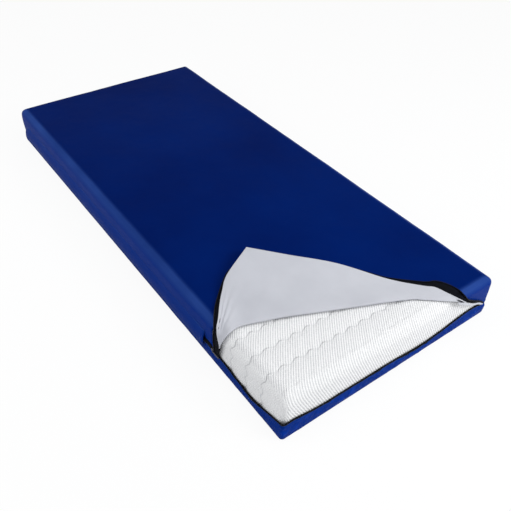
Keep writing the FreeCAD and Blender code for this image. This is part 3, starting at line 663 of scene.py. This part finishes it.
def build_cover_base():
    plan = Plan(HALF_X, HALF_Y, fine=0.010, coarse=0.03, right=0.3, left=0.5)
    base, _ = plan.ring(0.0, PLAN_RADIUS)
    x, y = base[:, 0], base[:, 1]
    zipped = ((x < -HALF_X + 0.03) & (y < ZIP_HEAD_Y)) | ((y < -HALF_Y + 0.03) & (x < ZIP_FOOT_X))
    upper = np.where(zipped, zip_edge_height(x, y) - (SEAM_HIGH - ZIP_Z) + 0.002, SEAM_HIGH)
    insets = np.arange(HALF_X - 0.03, HEM_RADIUS + 0.02, -0.04)
    rings = [ring_row(plan, inset, LEAST_RADIUS, 0.0, -math.pi / 2) for inset in insets]
    for k in range(7):
        tilt = (1 - k / 6) * math.pi / 2
        inset, z = HEM_RADIUS * (1 - math.cos(tilt)), HEM_RADIUS * (1 - math.sin(tilt))
        rings.append(ring_row(plan, inset, PLAN_RADIUS - inset, z, -tilt))
    for k in range(1, 9):
        z = HEM_RADIUS + (upper - HEM_RADIUS) * k / 8
        rings.append(ring_row(plan, 0.0, PLAN_RADIUS, z, 0.0))
    grid, normals = (np.array(part) for part in zip(*rings))
    side = 1 - np.abs(normals[..., 2])
    rise = np.clip(grid[..., 2] / SEAM_LOW, 0, 1)
    # Slanting wrinkles where the slack border is dragged along the open edge.
    slanted = grid @ np.array([[1.0, 0, 0], [0, 1.0, 0], [0.9, 0.9, 0.25]])
    wrinkles = cloth_noise(slanted, 0.028, 5) * 0.0030 + cloth_noise(slanted, 0.012, 6) * 0.0013
    slack = 1 + 0.8 * bell(grid[..., 0] - 0.08, 0.2) * (grid[..., 1] < -HALF_Y + 0.02)
    belly = 0.0030 * np.sin(np.pi * rise)
    held = smooth(rise / 0.45)
    grid = grid + normals * (side * (belly + wrinkles * slack * held + 0.0003))[..., None]
    grid = close_middle(grid[::-1])[::-1]
    piece = grid_object("cover_base_cloth", grid, [BLUE, LINING], "mattress", True)
    merge_doubles(piece)
    thicken(piece, CLOTH, inside_slot=1)
    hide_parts("cover_base")
    return piece


def build_zip_guard():
    """The lip of cover cloth that hangs over the closed zip."""
    start, end = GUARD_LO[1], GUARD_HI[1]
    count = int((end - start) / 0.012)
    y = np.linspace(start, end, count)
    depth = HALF_X + GUARD_LO[0]
    width = GUARD_HI[2] - GUARD_LO[2] + 2 * GUARD_EASE
    stands = (0.0018, 0.0034, 0.0062, 0.0092, 0.0102, 0.0100, 0.0092)  # for a solid 0.011 deep
    shares = (1.0, 0.90, 0.76, 0.58, 0.38, 0.2, 0.0)
    section = list(zip(stands, shares))
    grid = np.zeros((len(section), count, 3))
    for k, (stand, share) in enumerate(section):
        grid[k, :, 0] = -HALF_X - stand * abs(depth) / 0.011
        grid[k, :, 1] = y
        grid[k, :, 2] = GUARD_LO[2] - GUARD_EASE + width * share
    wave = cloth_noise(grid, 0.09, 8) * 0.0011
    loose = np.linspace(0, 1, len(section))[:, None]
    grid[..., 0] += wave * loose
    grid[..., 2] += cloth_noise(grid, 0.2, 9) * 0.0018 * loose
    piece = grid_object("zip_guard_cloth", grid, [BLUE, LINING], "mattress")
    thicken(piece, CLOTH, inside_slot=1)
    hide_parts("zip_guard")
    return piece


# ---- Zip tapes and coils ----


def clear_of_cover(points, stand):
    """Points nearer than this to the closed cover's rounded form move out to that distance."""
    inside = np.array([HALF_X, HALF_Y, HEIGHT]) - EDGE_RADIUS
    core = np.clip(points, -inside, inside)
    away = points - core
    distance = np.maximum(np.linalg.norm(away, axis=1, keepdims=True), 1e-6)
    least = EDGE_RADIUS + stand
    return np.where(distance < least, core + away / distance * least, points)


def ribbon(name, inner, outer, normal, material, body, stand=None):
    """A tape between its two edges, each a run of points, dished slightly along its middle."""
    grid = []
    for share in np.linspace(0, 1, 7):
        row = inner + (outer - inner) * share + normal * TAPE_DISH * (share - 0.5) ** 2
        grid.append(row if stand is None else clear_of_cover(row, stand))
    piece = grid_object(name, np.array(grid), [material], body)
    thicken(piece, TAPE_THICKNESS)
    return piece


def teeth(name, path, across, normal, body):
    """Coil loops along a tape's free edge: one rounded lug per pitch, leaning along the chain."""
    run = run_along(path)
    places = np.arange(0, run[-1], TOOTH_PITCH)
    centre, side, out = (sample(values, run, places) for values in (path, across, normal))
    side, out = unit(side), unit(out)
    ahead = unit(np.cross(side, out))
    section = [(-0.5, -0.5), (0.5, -0.5), (0.5, 0.3), (0.25, 0.5), (-0.25, 0.5), (-0.5, 0.3)]
    points, faces = [], []
    for c, s, o, a in zip(centre, side, out, ahead):
        start = len(points)
        for end, taper in ((-0.5, 0.75), (0.2, 1.0), (0.5, 0.6)):
            lean = a * end * TOOTH_LEAN
            for u, v in section:
                thick = a * u * TOOTH_WIDE * taper
                points.append(c + s * end * TOOTH_LONG + thick + o * v * TOOTH_TALL * taper + lean)
        faces += grid_faces(3, 6, True, start)
        faces.append(tuple(start + k for k in reversed(range(6))))
        faces.append(tuple(start + 12 + k for k in range(6)))
    return new_object(name, points, faces, [COIL], body)


def lower_zip_path(count):
    """The lower chain from the head end, round the open corner, to the foot end's stop."""
    radius = PLAN_RADIUS
    run = []
    for y in np.linspace(ZIP_HEAD_Y, -HALF_Y + radius, int(count * 0.66)):
        run.append((-HALF_X, y, -1.0, 0.0))
    for turn in np.linspace(math.pi, 1.5 * math.pi, 12)[1:-1]:
        ahead, aside = math.cos(turn), math.sin(turn)
        x, y = -HALF_X + radius + radius * ahead, -HALF_Y + radius + radius * aside
        run.append((x, y, ahead, aside))
    for x in np.linspace(-HALF_X + radius, ZIP_FOOT_X, int(count * 0.34)):
        run.append((x, -HALF_Y, 0.0, -1.0))
    run = np.array(run)
    z = zip_edge_height(run[:, 0], run[:, 1])
    path = np.column_stack([run[:, :2], z])
    normal = np.column_stack([run[:, 2:], np.zeros(len(run))])
    return path, normal


def zip_half(level, path, across, face, lift):
    """Tape and coil beside a run of the zip line, with the tape's free edge lifted off it."""
    free = path - across * 0.0012 + face * lift
    sewn = free - across * TAPE_WIDTH
    tape = ribbon(f"zip_tape_{level}_cloth", sewn, free, face, TAPE, "mattress")
    chain = path - across * COIL_BACK + face * COIL_OUT
    return tape, teeth(f"zip_coil_{level}_teeth", chain, across, face, "mattress")


def build_lower_zip():
    path, normal = lower_zip_path(260)
    opened = smooth((FOLD_POS.y - 0.02 - path[:, 1]) / 0.05)
    wave = cloth_noise(path, 0.05, 11) * 0.0012 * opened
    path = path + normal * (wave + 0.0006)[:, None]
    up = np.tile([0.0, 0.0, 1.0], (len(path), 1))
    # The free edge leans out a little where it is unzipped.
    across = unit(up + normal * (0.22 * opened)[:, None])
    face = unit(normal - across * np.sum(normal * across, axis=1, keepdims=True))
    tape, coil = zip_half("lower", path, across, face, -0.0012)
    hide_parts("zip_tape_lower")
    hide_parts("zip_coil_lower")
    return [tape, coil]


def build_upper_zip():
    count = 150
    y = np.linspace(ZIP_HEAD_Y, FOLD_POS.y + 0.004, count)
    path = np.column_stack([np.full(count, -HALF_X), y, np.full(count, ZIP_Z)])
    normal = np.tile([-1.0, 0.0, 0.0], (count, 1))
    down = np.tile([0.0, 0.0, -1.0], (count, 1))
    tape, coil = zip_half("upper", path, down, normal, 0.0002)
    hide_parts("zip_tape_upper")
    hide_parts("zip_coil_upper")
    return [tape, coil]


# ---- Flap: the turned-back corner ----


def wall_normal(points, wall):
    """Out of the wall low down, straight up on the top, and turning over the rounded edge."""
    share = smooth((HEIGHT - 0.008 - points[:, 2]) / 0.045)[:, None]
    return unit(share * np.array(wall, float) + (1 - share) * np.array([0.0, 0.0, 1.0]))


def flap_tip():
    corner = Vector((-HALF_X, -HALF_Y, HEIGHT))
    turn = Matrix.Rotation(-FOLD_OPEN, 3, FOLD_AXIS)
    return turn @ (corner - FOLD_POS) + FOLD_POS


def placed(x, y, rows):
    """The rows' points, given with x and y from this place."""
    return [(x + dx, y + dy, z) for dx, dy, z in rows]


def on_fold(distance, toward_head, height):
    place = FOLD_POS + FOLD_AXIS * distance + HEADWARD * toward_head
    return (place.x, place.y, height)


def flap_edges():
    """The fold and the free edge, each as two runs that meet at the flap's tip."""
    side_x, foot_y = -HALF_X - FLAP_STAND, -HALF_Y - FLAP_STAND
    end_x, fold_y, crest = FOLD_END.x, FOLD_POS.y, HEIGHT + 0.0015
    tip = flap_tip() + Vector((-0.002, -0.022, 0))
    share = (tip - FOLD_POS).dot(FOLD_AXIS)
    far = (FOLD_END - FOLD_POS).length
    fold_left = placed(side_x, fold_y, [
        (0, -0.052, HEIGHT * 0.66),
        (0.004, -0.059, HEIGHT * 0.83),
        (0.016, -0.063, HEIGHT * 0.955),
        (0.034, -0.063, crest),
    ])
    fold_left += [on_fold(0.082, -0.028, crest), on_fold(share, -0.019, crest)]
    fold_right = [
        on_fold(share, -0.019, crest),
        on_fold(0.27 * far, -0.013, crest),
        on_fold(0.51 * far, -0.008, crest),
        on_fold(0.75 * far, -0.003, crest),
        on_fold(0.81 * far, -0.010, crest - 0.001),
        on_fold(0.88 * far, -0.022, crest - 0.003),
    ]
    fold_right += placed(end_x, foot_y, [
        (-0.055, 0.006, HEIGHT * 0.95),
        (-0.030, 0, HEIGHT * 0.85),
        (-0.012, 0, HEIGHT * 0.79),
        (-0.004, 0, HEIGHT * 0.775),
    ])
    free_left = placed(side_x, fold_y, [
        (0, -0.051, HEIGHT * 0.66 + 0.003),
        (0, -0.040, HEIGHT * 0.86),
        (0.002, -0.034, HEIGHT * 0.96),
        (0.011, -0.020, HEIGHT + 0.007),
    ])
    free_left += placed(-HALF_X, fold_y, [
        (0.020, -0.002, HEIGHT + 0.011),
        (0.060, 0.049, HEIGHT + 0.014),
        (0.096, 0.089, HEIGHT + 0.017),
        (0.147, 0.137, HEIGHT + 0.023),
    ])
    free_left.append(tuple(tip))
    free_right = [tuple(tip), (tip.x + 0.100, tip.y - 0.108, tip.z - 0.006)]
    free_right += placed(end_x, -HALF_Y, [
        (-0.276, 0.335, HEIGHT + 0.020),
        (-0.182, 0.186, HEIGHT + 0.014),
        (-0.109, 0.100, HEIGHT + 0.012),
        (-0.080, 0.073, HEIGHT + 0.011),
        (-0.064, 0.035, HEIGHT + 0.008),
    ])
    free_right += placed(end_x, foot_y, [
        (-0.046, 0.008, HEIGHT + 0.001),
        (-0.024, 0, HEIGHT * 0.90),
        (-0.003, 0, HEIGHT * 0.775 + 0.002),
    ])
    return fold_left, fold_right, free_left, free_right


def blend_with_flap(piece):
    """Bakes the piece's transform into its mesh."""
    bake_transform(piece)


def flap_rows():
    """Fold line, free edge, way across, way out past the edge and normal, at each step."""
    fold_left, fold_right, free_left, free_right = flap_edges()
    folds, frees, normals, outs = [], [], [], []
    for fold, free, count, wall in (
        (fold_left, free_left, 46, (-1, 0, 0)),
        (fold_right, free_right, 84, (0, -1, 0)),
    ):
        fold, free = curve_through(fold, count), curve_through(free, count)
        normal = wall_normal((fold + free) / 2, wall)
        out = unit(np.cross(wall_normal(free, wall), np.gradient(free, axis=0)))
        keep = slice(1, None) if folds else slice(None)
        for values, more in zip((folds, frees, normals, outs), (fold, free, normal, out)):
            values.append(more[keep])
    fold, free, normal, out = (np.vstack(values) for values in (folds, frees, normals, outs))
    reach = free - fold
    flat = reach - normal * np.sum(reach * normal, axis=1, keepdims=True)
    narrow = 1 - smooth(np.linalg.norm(flat, axis=1, keepdims=True) / 0.02)
    across = unit(unit(flat) * (1 - narrow) + out * narrow)
    return fold, free, across, out, normal


def build_flap():
    fold, free, across, _, normal = flap_rows()
    span = np.linalg.norm(free - fold, axis=1)
    full = smooth((span - 0.015) / 0.10)[:, None]
    least = CLOTH * (1 - full)
    roll, curl = ROLL * full + least, CURL * full + least
    tuck = np.minimum(TUCK, span[:, None] * 0.45) * full + least * 2
    underlap = UNDERLAP * smooth(span / 0.03)[:, None]
    folds, curls = np.radians(np.linspace(-90, 80, 9)), np.radians(np.linspace(65, -90, 7))
    tucks = (0.35, 0.7, 1.0)
    rows = [fold + across * underlap - normal * 0.003]
    rows.append(fold + across * underlap / 2 - normal * 0.002)
    for a in folds:
        rows.append(fold + across * roll * (1 - math.cos(a)) + normal * roll * (1 + math.sin(a)))
    start = fold + across * roll + normal * roll * 2
    shares = np.linspace(0, 1, 34)[1:]
    panel = slice(len(rows), len(rows) + len(shares))
    for v in shares:
        rows.append(start + (free - start) * v)
    for a in curls:
        rows.append(free + across * curl * math.cos(a) + normal * curl * (math.sin(a) - 1))
    for v in tucks:
        rows.append(free - across * tuck * v - normal * curl * (2 + 0.6 * v))
    grid = np.array(rows)
    # The panel is uneven, dragged in folds beside the fold line and at its left end, and sags.
    share = shares[:, None]
    along = np.linspace(0, 1, len(fold))[None, :]
    loose = np.sin(np.pi * np.clip(share, 0, 1)) * smooth(span / 0.12)
    soft = cloth_noise(grid[panel], 0.11, 21) * 0.0026 + cloth_noise(grid[panel], 0.04, 22) * 0.0012
    drag = np.sin(along * 46 + share * 5) * 0.0011 * bell(share - 0.12, 0.22) * smooth(span / 0.1)
    pulled = np.sin(share * 26 - along * 34) * 0.0016
    pulled = pulled * bell(along - 0.14, 0.09) * bell(share - 0.55, 0.3)
    drag = drag + pulled * smooth(span / 0.1)
    sag = -0.0045 * np.sin(np.pi * share) * (1.25 - 0.6 * share) * smooth(span / 0.25)
    grid[panel] += normal[None] * (soft * loose * (1.15 - 0.7 * share) + drag + sag)[..., None]
    piece = grid_object("cover_flap_cloth", grid, [LINING, BLUE, CUT_EDGE], None)
    thicken(piece, CLOTH, inside_slot=1, rim_slot=2)
    # The border is turned under: lining towards the flap, coated face away from it.
    # The mesh holds the cells of the grid's face, then those of its back, in the same order.
    steps, cells = grid.shape[1] - 1, (grid.shape[0] - 1) * (grid.shape[1] - 1)
    for face in piece.data.polygons[2 * cells - (len(curls) + len(tucks)) * steps : 2 * cells]:
        face.material_index = 0
    for face in piece.data.polygons[cells - len(tucks) * steps : cells]:
        face.material_index = 1
    blend_with_flap(piece)
    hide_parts("flap_panel", "flap_fold", "flap_border_side", "flap_border_foot")
    return piece


def edge_tape(name, inner, outer, wall, nodes, coil_nodes):
    """Zip tape between its sewn edge and its open edge, with the coil along the open edge."""
    up = wall_normal((inner + outer) / 2, wall)
    out = unit(outer - inner)
    tape = ribbon(name, inner, outer, up, TAPE, None, stand=TAPE_STAND)
    chain = clear_of_cover(outer - out * 0.0014 + up * 0.0016, TAPE_STAND + 0.0016)
    coil = teeth(name.replace("tape", "coil"), chain, out, up, None)
    blend_with_flap(tape)
    blend_with_flap(coil)
    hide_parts(*nodes)
    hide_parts(*coil_nodes)
    return [tape, coil]


def build_side_tape(sewn):
    """From the slider up the border, round the top edge and in under the flap's tip."""
    x, y, z = -HALF_X - TAPE_STAND, FOLD_POS.y, HEIGHT + TAPE_STAND
    outer = placed(x, y, [
        (0, -0.017, ZIP_Z + 0.004),
        (0, -0.012, HEIGHT * 0.60),
        (0, -0.012, HEIGHT * 0.90),
        (0.013, 0.007, z),
        (0.038, 0.041, z),
        (0.058, 0.064, z),
        (0.101, 0.105, z + 0.002),
        (0.150, 0.147, z + 0.006),
        (0.172, 0.158, z + 0.010),
    ])
    below = np.linspace((x - 0.001, y - 0.041, ZIP_Z + 0.005), sewn[0], 8, endpoint=False)
    inner = np.vstack([below, sewn[:38]])
    outer = curve_through(outer, len(inner))
    nodes, coil_nodes = ["flap_tape_side"], ["flap_coil_side"]
    return edge_tape("flap_tape_side_cloth", inner, outer, (-1, 0, 0), nodes, coil_nodes)


def build_foot_tape(sewn):
    """From under the flap down over the foot edge to where the zip is still closed."""
    x, y, z = FOLD_END.x, -HALF_Y - TAPE_STAND, HEIGHT + TAPE_STAND
    low = ZIP_FOOT_X
    outer = placed(x, y, [
        (-0.236, 0.296, z + 0.004),
        (-0.206, 0.258, z),
        (-0.169, 0.201, z),
        (-0.088, 0.122, z),
        (-0.050, 0.101, z),
        (-0.030, 0.072, z),
        (-0.021, 0.040, z),
        (-0.016, 0.008, z - 0.006),
        (0.004, 0, HEIGHT * 0.84),
        (0.037, 0, HEIGHT * 0.70),
        (0.084, 0, HEIGHT * 0.53),
        (low + 0.010 - x, 0, ZIP_Z + 0.010),
    ])
    start = int(np.argmin(np.linalg.norm(sewn - np.array(outer[0]), axis=1)))
    below = placed(x, y - 0.001, [
        (0.043, 0, HEIGHT * 0.60),
        (0.080, 0, HEIGHT * 0.49),
        (low + 0.008 - x, 0, ZIP_Z + 0.004),
    ])
    inner = np.vstack([sewn[start:-1], curve_through([tuple(sewn[-1])] + below, 30)])
    outer = curve_through(outer, len(inner))
    nodes, coil_nodes = ["flap_tape_foot", "zip_tape_ear"], ["flap_coil_foot"]
    return edge_tape("flap_tape_foot_cloth", inner, outer, (0, -1, 0), nodes, coil_nodes)


def build_seam_strip():
    """The lining's seam allowance, which runs on as a narrow strip below the foot tape."""
    x, low, front, count = FOLD_END.x, ZIP_FOOT_X, -HALF_Y - TAPE_STAND - FLAP_STAND, 44
    seam = placed(x, front, [
        (-0.058, 0.001, HEIGHT * 0.975),
        (-0.030, -0.001, HEIGHT * 0.90),
        (-0.010, 0, HEIGHT * 0.815),
        (0.043, 0.003, HEIGHT * 0.61),
        (0.080, 0.005, HEIGHT * 0.50),
        (low + 0.006 - x, 0.006, ZIP_Z + 0.006),
    ])
    upper = curve_through(seam, count)
    places, widths = (0, 0.12, 0.4, 0.9, 1), (0.004, 0.011, 0.009, 0.007, 0.003)
    width = np.interp(np.linspace(0, 1, count), places, widths)[:, None]
    lower = upper + np.array([-0.25, 0.04, -1.0]) * width
    normal = np.tile([0.0, -1.0, 0.0], (count, 1))
    strip = ribbon("flap_seam_strip", lower, upper, normal, LINING, None)
    blend_with_flap(strip)
    return [strip]


def build_flap_zip():
    """Both tapes lie under the flap's free edge, and the seam strip follows the foot one."""
    fold, free, _, out, normal = flap_rows()
    span = np.linalg.norm(free - fold, axis=1, keepdims=True)
    sewn = free - out * np.minimum(TAPE_WIDTH * 0.4, 0.35 * span)
    side = build_side_tape(sewn - normal * 0.0032)
    return side + build_foot_tape(sewn - normal * 0.0062) + build_seam_strip()


# ---- Quilted inner cover ----


def quilt_relief(grid, normals):
    """Depth below the puffed surface: sewn lines across the mattress, scalloped between ties."""
    x, y, z = np.moveaxis(grid, -1, 0)
    on_side = smooth((np.abs(normals[..., 0]) - 0.5) / 0.4)
    on_foot = smooth((np.abs(normals[..., 1]) - 0.3) / 0.5)
    across = np.abs(x) + (HEIGHT - z)
    scallop = SCALLOP_DEPTH * np.sin(2 * np.pi * across / SCALLOP_LENGTH)
    place = (y + HALF_Y - QUILT_FIRST - scallop) / QUILT_PITCH
    share = np.abs(place - np.round(place)) * 2
    depth = TOP_QUILT_DEPTH + (SIDE_QUILT_DEPTH - TOP_QUILT_DEPTH) * on_side
    return depth * (1 - share) ** 3 * (1 - on_foot) * (y > QUILT_START - QUILT_PITCH / 3)


def quilted_surface():
    """The puffed and sewn top and sides of the inner cover."""
    half_x, half_y = INNER_HI[0], INNER_HI[1]
    fine = 0.0055
    plan = Plan(half_x, half_y, fine, 0.04, right=0.12, left=0.42, right_fine=0.02, arc_steps=12)
    insets = list(np.arange(INNER_EDGE_RADIUS + fine, 0.40, fine)) + [half_x - 0.012]
    rows = cover_rows(20, 14, INNER_EDGE_RADIUS, INNER_HI[2], insets)
    base, _ = plan.ring(0.0, INNER_PLAN_RADIUS)
    low = np.full(len(base), INNER_LO[2])
    grid, normals = build_rings(plan, rows, INNER_PLAN_RADIUS, low, INNER_HI[2] - INNER_EDGE_RADIUS)
    grid, normals = close_middle(grid), np.concatenate([normals, normals[-1:]])
    wall = 1 - np.abs(normals[..., 2])
    lumps = 0.0007 * (cloth_noise(grid, 0.10, 31) - 1) + 0.0004 * (cloth_noise(grid, 0.03, 32) - 1)
    corner = np.hypot(np.abs(grid[..., 0]) - half_x + 0.013, np.abs(grid[..., 1]) - half_y + 0.013)
    seam = 0.0016 * bell(corner, 0.006) * wall
    relief = lumps - quilt_relief(grid, normals) - seam + WALL_PUFF * wall
    return grid + normals * relief[..., None]


def build_inner_cover():
    grid = quilted_surface()
    piece = grid_object("inner_cover_knit", grid, [KNIT], "mattress", True)
    merge_doubles(piece)
    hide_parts("inner_cover_top")


def build_wadding():
    """Fibre that lies under the level part of the quilted skin and follows its sewn lines."""
    low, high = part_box("inner_wadding")
    x = np.arange(low[0], high[0] + 0.001, 0.008)
    y = np.concatenate([np.arange(low[1], -0.5, 0.008), np.linspace(-0.5, high[1], 40)])
    flat = np.zeros((len(x), len(y), 3))
    flat[..., 0], flat[..., 1] = x[:, None], y[None]
    flat[..., 2] = INNER_HI[2]
    upward = np.broadcast_to([0.0, 0.0, 1.0], flat.shape)
    height = INNER_HI[2] - quilt_relief(flat, upward) - KNIT_THICKNESS - 0.0010
    height += cloth_noise(flat, 0.02, 33) * 0.0004
    top, under = flat.copy(), flat.copy()
    top[..., 2] = under[..., 2] = low[2]
    top[1:-1, 1:-1, 2] = np.maximum(height, low[2] + 0.0004)[1:-1, 1:-1]
    rows, columns = top.shape[:2]
    points = np.concatenate([top.reshape(-1, 3), under.reshape(-1, 3)])
    faces = grid_faces(rows, columns)
    faces += [tuple(k + rows * columns for k in reversed(f)) for f in faces]
    piece = new_object("inner_wadding_fibre", points, faces, [FIBRE], "mattress")
    merge_doubles(piece)
    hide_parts("inner_wadding")


# ---- Floor, lights and camera ----


def show_to_camera(tree, output, seen, other, share=1.0):
    """The camera sees this share of one shader; every other ray sees only the other one."""
    mix = tree.nodes.new("ShaderNodeMixShader")
    rays = tree.nodes.new("ShaderNodeLightPath")
    part = tree.nodes.new("ShaderNodeMath")
    part.operation = "MULTIPLY"
    part.inputs[1].default_value = share
    link = tree.links.new
    link(rays.outputs["Is Camera Ray"], part.inputs[0])
    link(part.outputs[0], mix.inputs["Fac"])
    link(other.outputs[0], mix.inputs[1])
    link(seen.outputs[0], mix.inputs[2])
    link(mix.outputs[0], tree.nodes[output].inputs["Surface"])


def build_stage():
    """A plain floor, lit a little by itself so that it comes out white."""
    mesh = bpy.data.meshes.new("floor")
    reach = FLOOR_REACH
    corners = [(-reach, -reach), (reach, -reach), (reach, reach), (-reach, reach)]
    mesh.from_pydata([(x, y, -FLOOR_GAP) for x, y in corners], [], [(0, 1, 2, 3)])
    floor = add_object("floor", mesh)
    material = bpy.data.materials.new("floor_white")
    material.use_nodes = True
    tree = material.node_tree
    matt = tree.nodes["Principled BSDF"]
    set_inputs(matt, {"Base Color": (FLOOR_GREY, FLOOR_GREY, FLOOR_GREY, 1), "Roughness": 0.9})
    glow = tree.nodes.new("ShaderNodeEmission")
    set_inputs(glow, {"Strength": 1.0})
    show_to_camera(tree, "Material Output", glow, matt, FLOOR_GLOW)
    mesh.materials.append(material)


def build_world():
    """Soft bluish light all round, but plain white where the camera sees past the floor."""
    world = bpy.data.worlds.new("studio")
    world.use_nodes = True
    tree = world.node_tree
    sky = tree.nodes["Background"]
    set_inputs(sky, {"Color": (*SKY_COLOUR, 1), "Strength": SKY_STRENGTH})
    white = tree.nodes.new("ShaderNodeBackground")
    set_inputs(white, {"Strength": 1.0})
    show_to_camera(tree, "World Output", white, sky)
    bpy.context.scene.world = world


def add_lamp(name, place, target, size, watts):
    lamp = bpy.data.lights.new(name, "AREA")
    lamp.shape = "RECTANGLE"
    lamp.size, lamp.size_y = size
    lamp.energy = watts
    holder = add_object(name, lamp)
    holder.location = place
    holder.rotation_euler = (Vector(target) - Vector(place)).to_track_quat("-Z", "Y").to_euler()


def build_camera():
    """Placed with a view solved from the mattress's own corners and edges."""
    azimuth, tilt = math.radians(CAMERA_AZIMUTH), math.radians(CAMERA_TILT)
    roll = math.radians(CAMERA_ROLL)
    reach = math.cos(tilt)
    forward = Vector((math.sin(azimuth) * reach, math.cos(azimuth) * reach, -math.sin(tilt)))
    level = forward.cross(Vector((0, 0, 1))).normalized()
    upward = level.cross(forward)
    right = level * math.cos(roll) + upward * math.sin(roll)
    up = upward * math.cos(roll) - level * math.sin(roll)
    camera = bpy.data.cameras.new("camera")
    camera.sensor_width = SENSOR_MM
    camera.lens = LENS_MM
    camera.shift_y = LENS_SHIFT
    camera.clip_end = 50.0
    holder = add_object("camera", camera)
    pose = Matrix((right, up, -forward)).transposed().to_4x4()
    pose.translation = Vector(CAMERA_PLACE)
    holder.matrix_world = pose
    bpy.context.scene.camera = holder


# ---- Everything, in order ----


dress_cad_nodes()
cover_top = build_cover_top()
cover_base = build_cover_base()
guard = build_zip_guard()
lower_tape = build_lower_zip()
upper_tape = build_upper_zip()
flap = build_flap()
flap_tapes = build_flap_zip()
build_inner_cover()
build_wadding()
build_stage()
build_world()
for lamp in LAMPS:
    add_lamp(*lamp)
build_camera()
bpy.context.scene.view_settings.view_transform = "Standard"

bpy.context.view_layer.update()
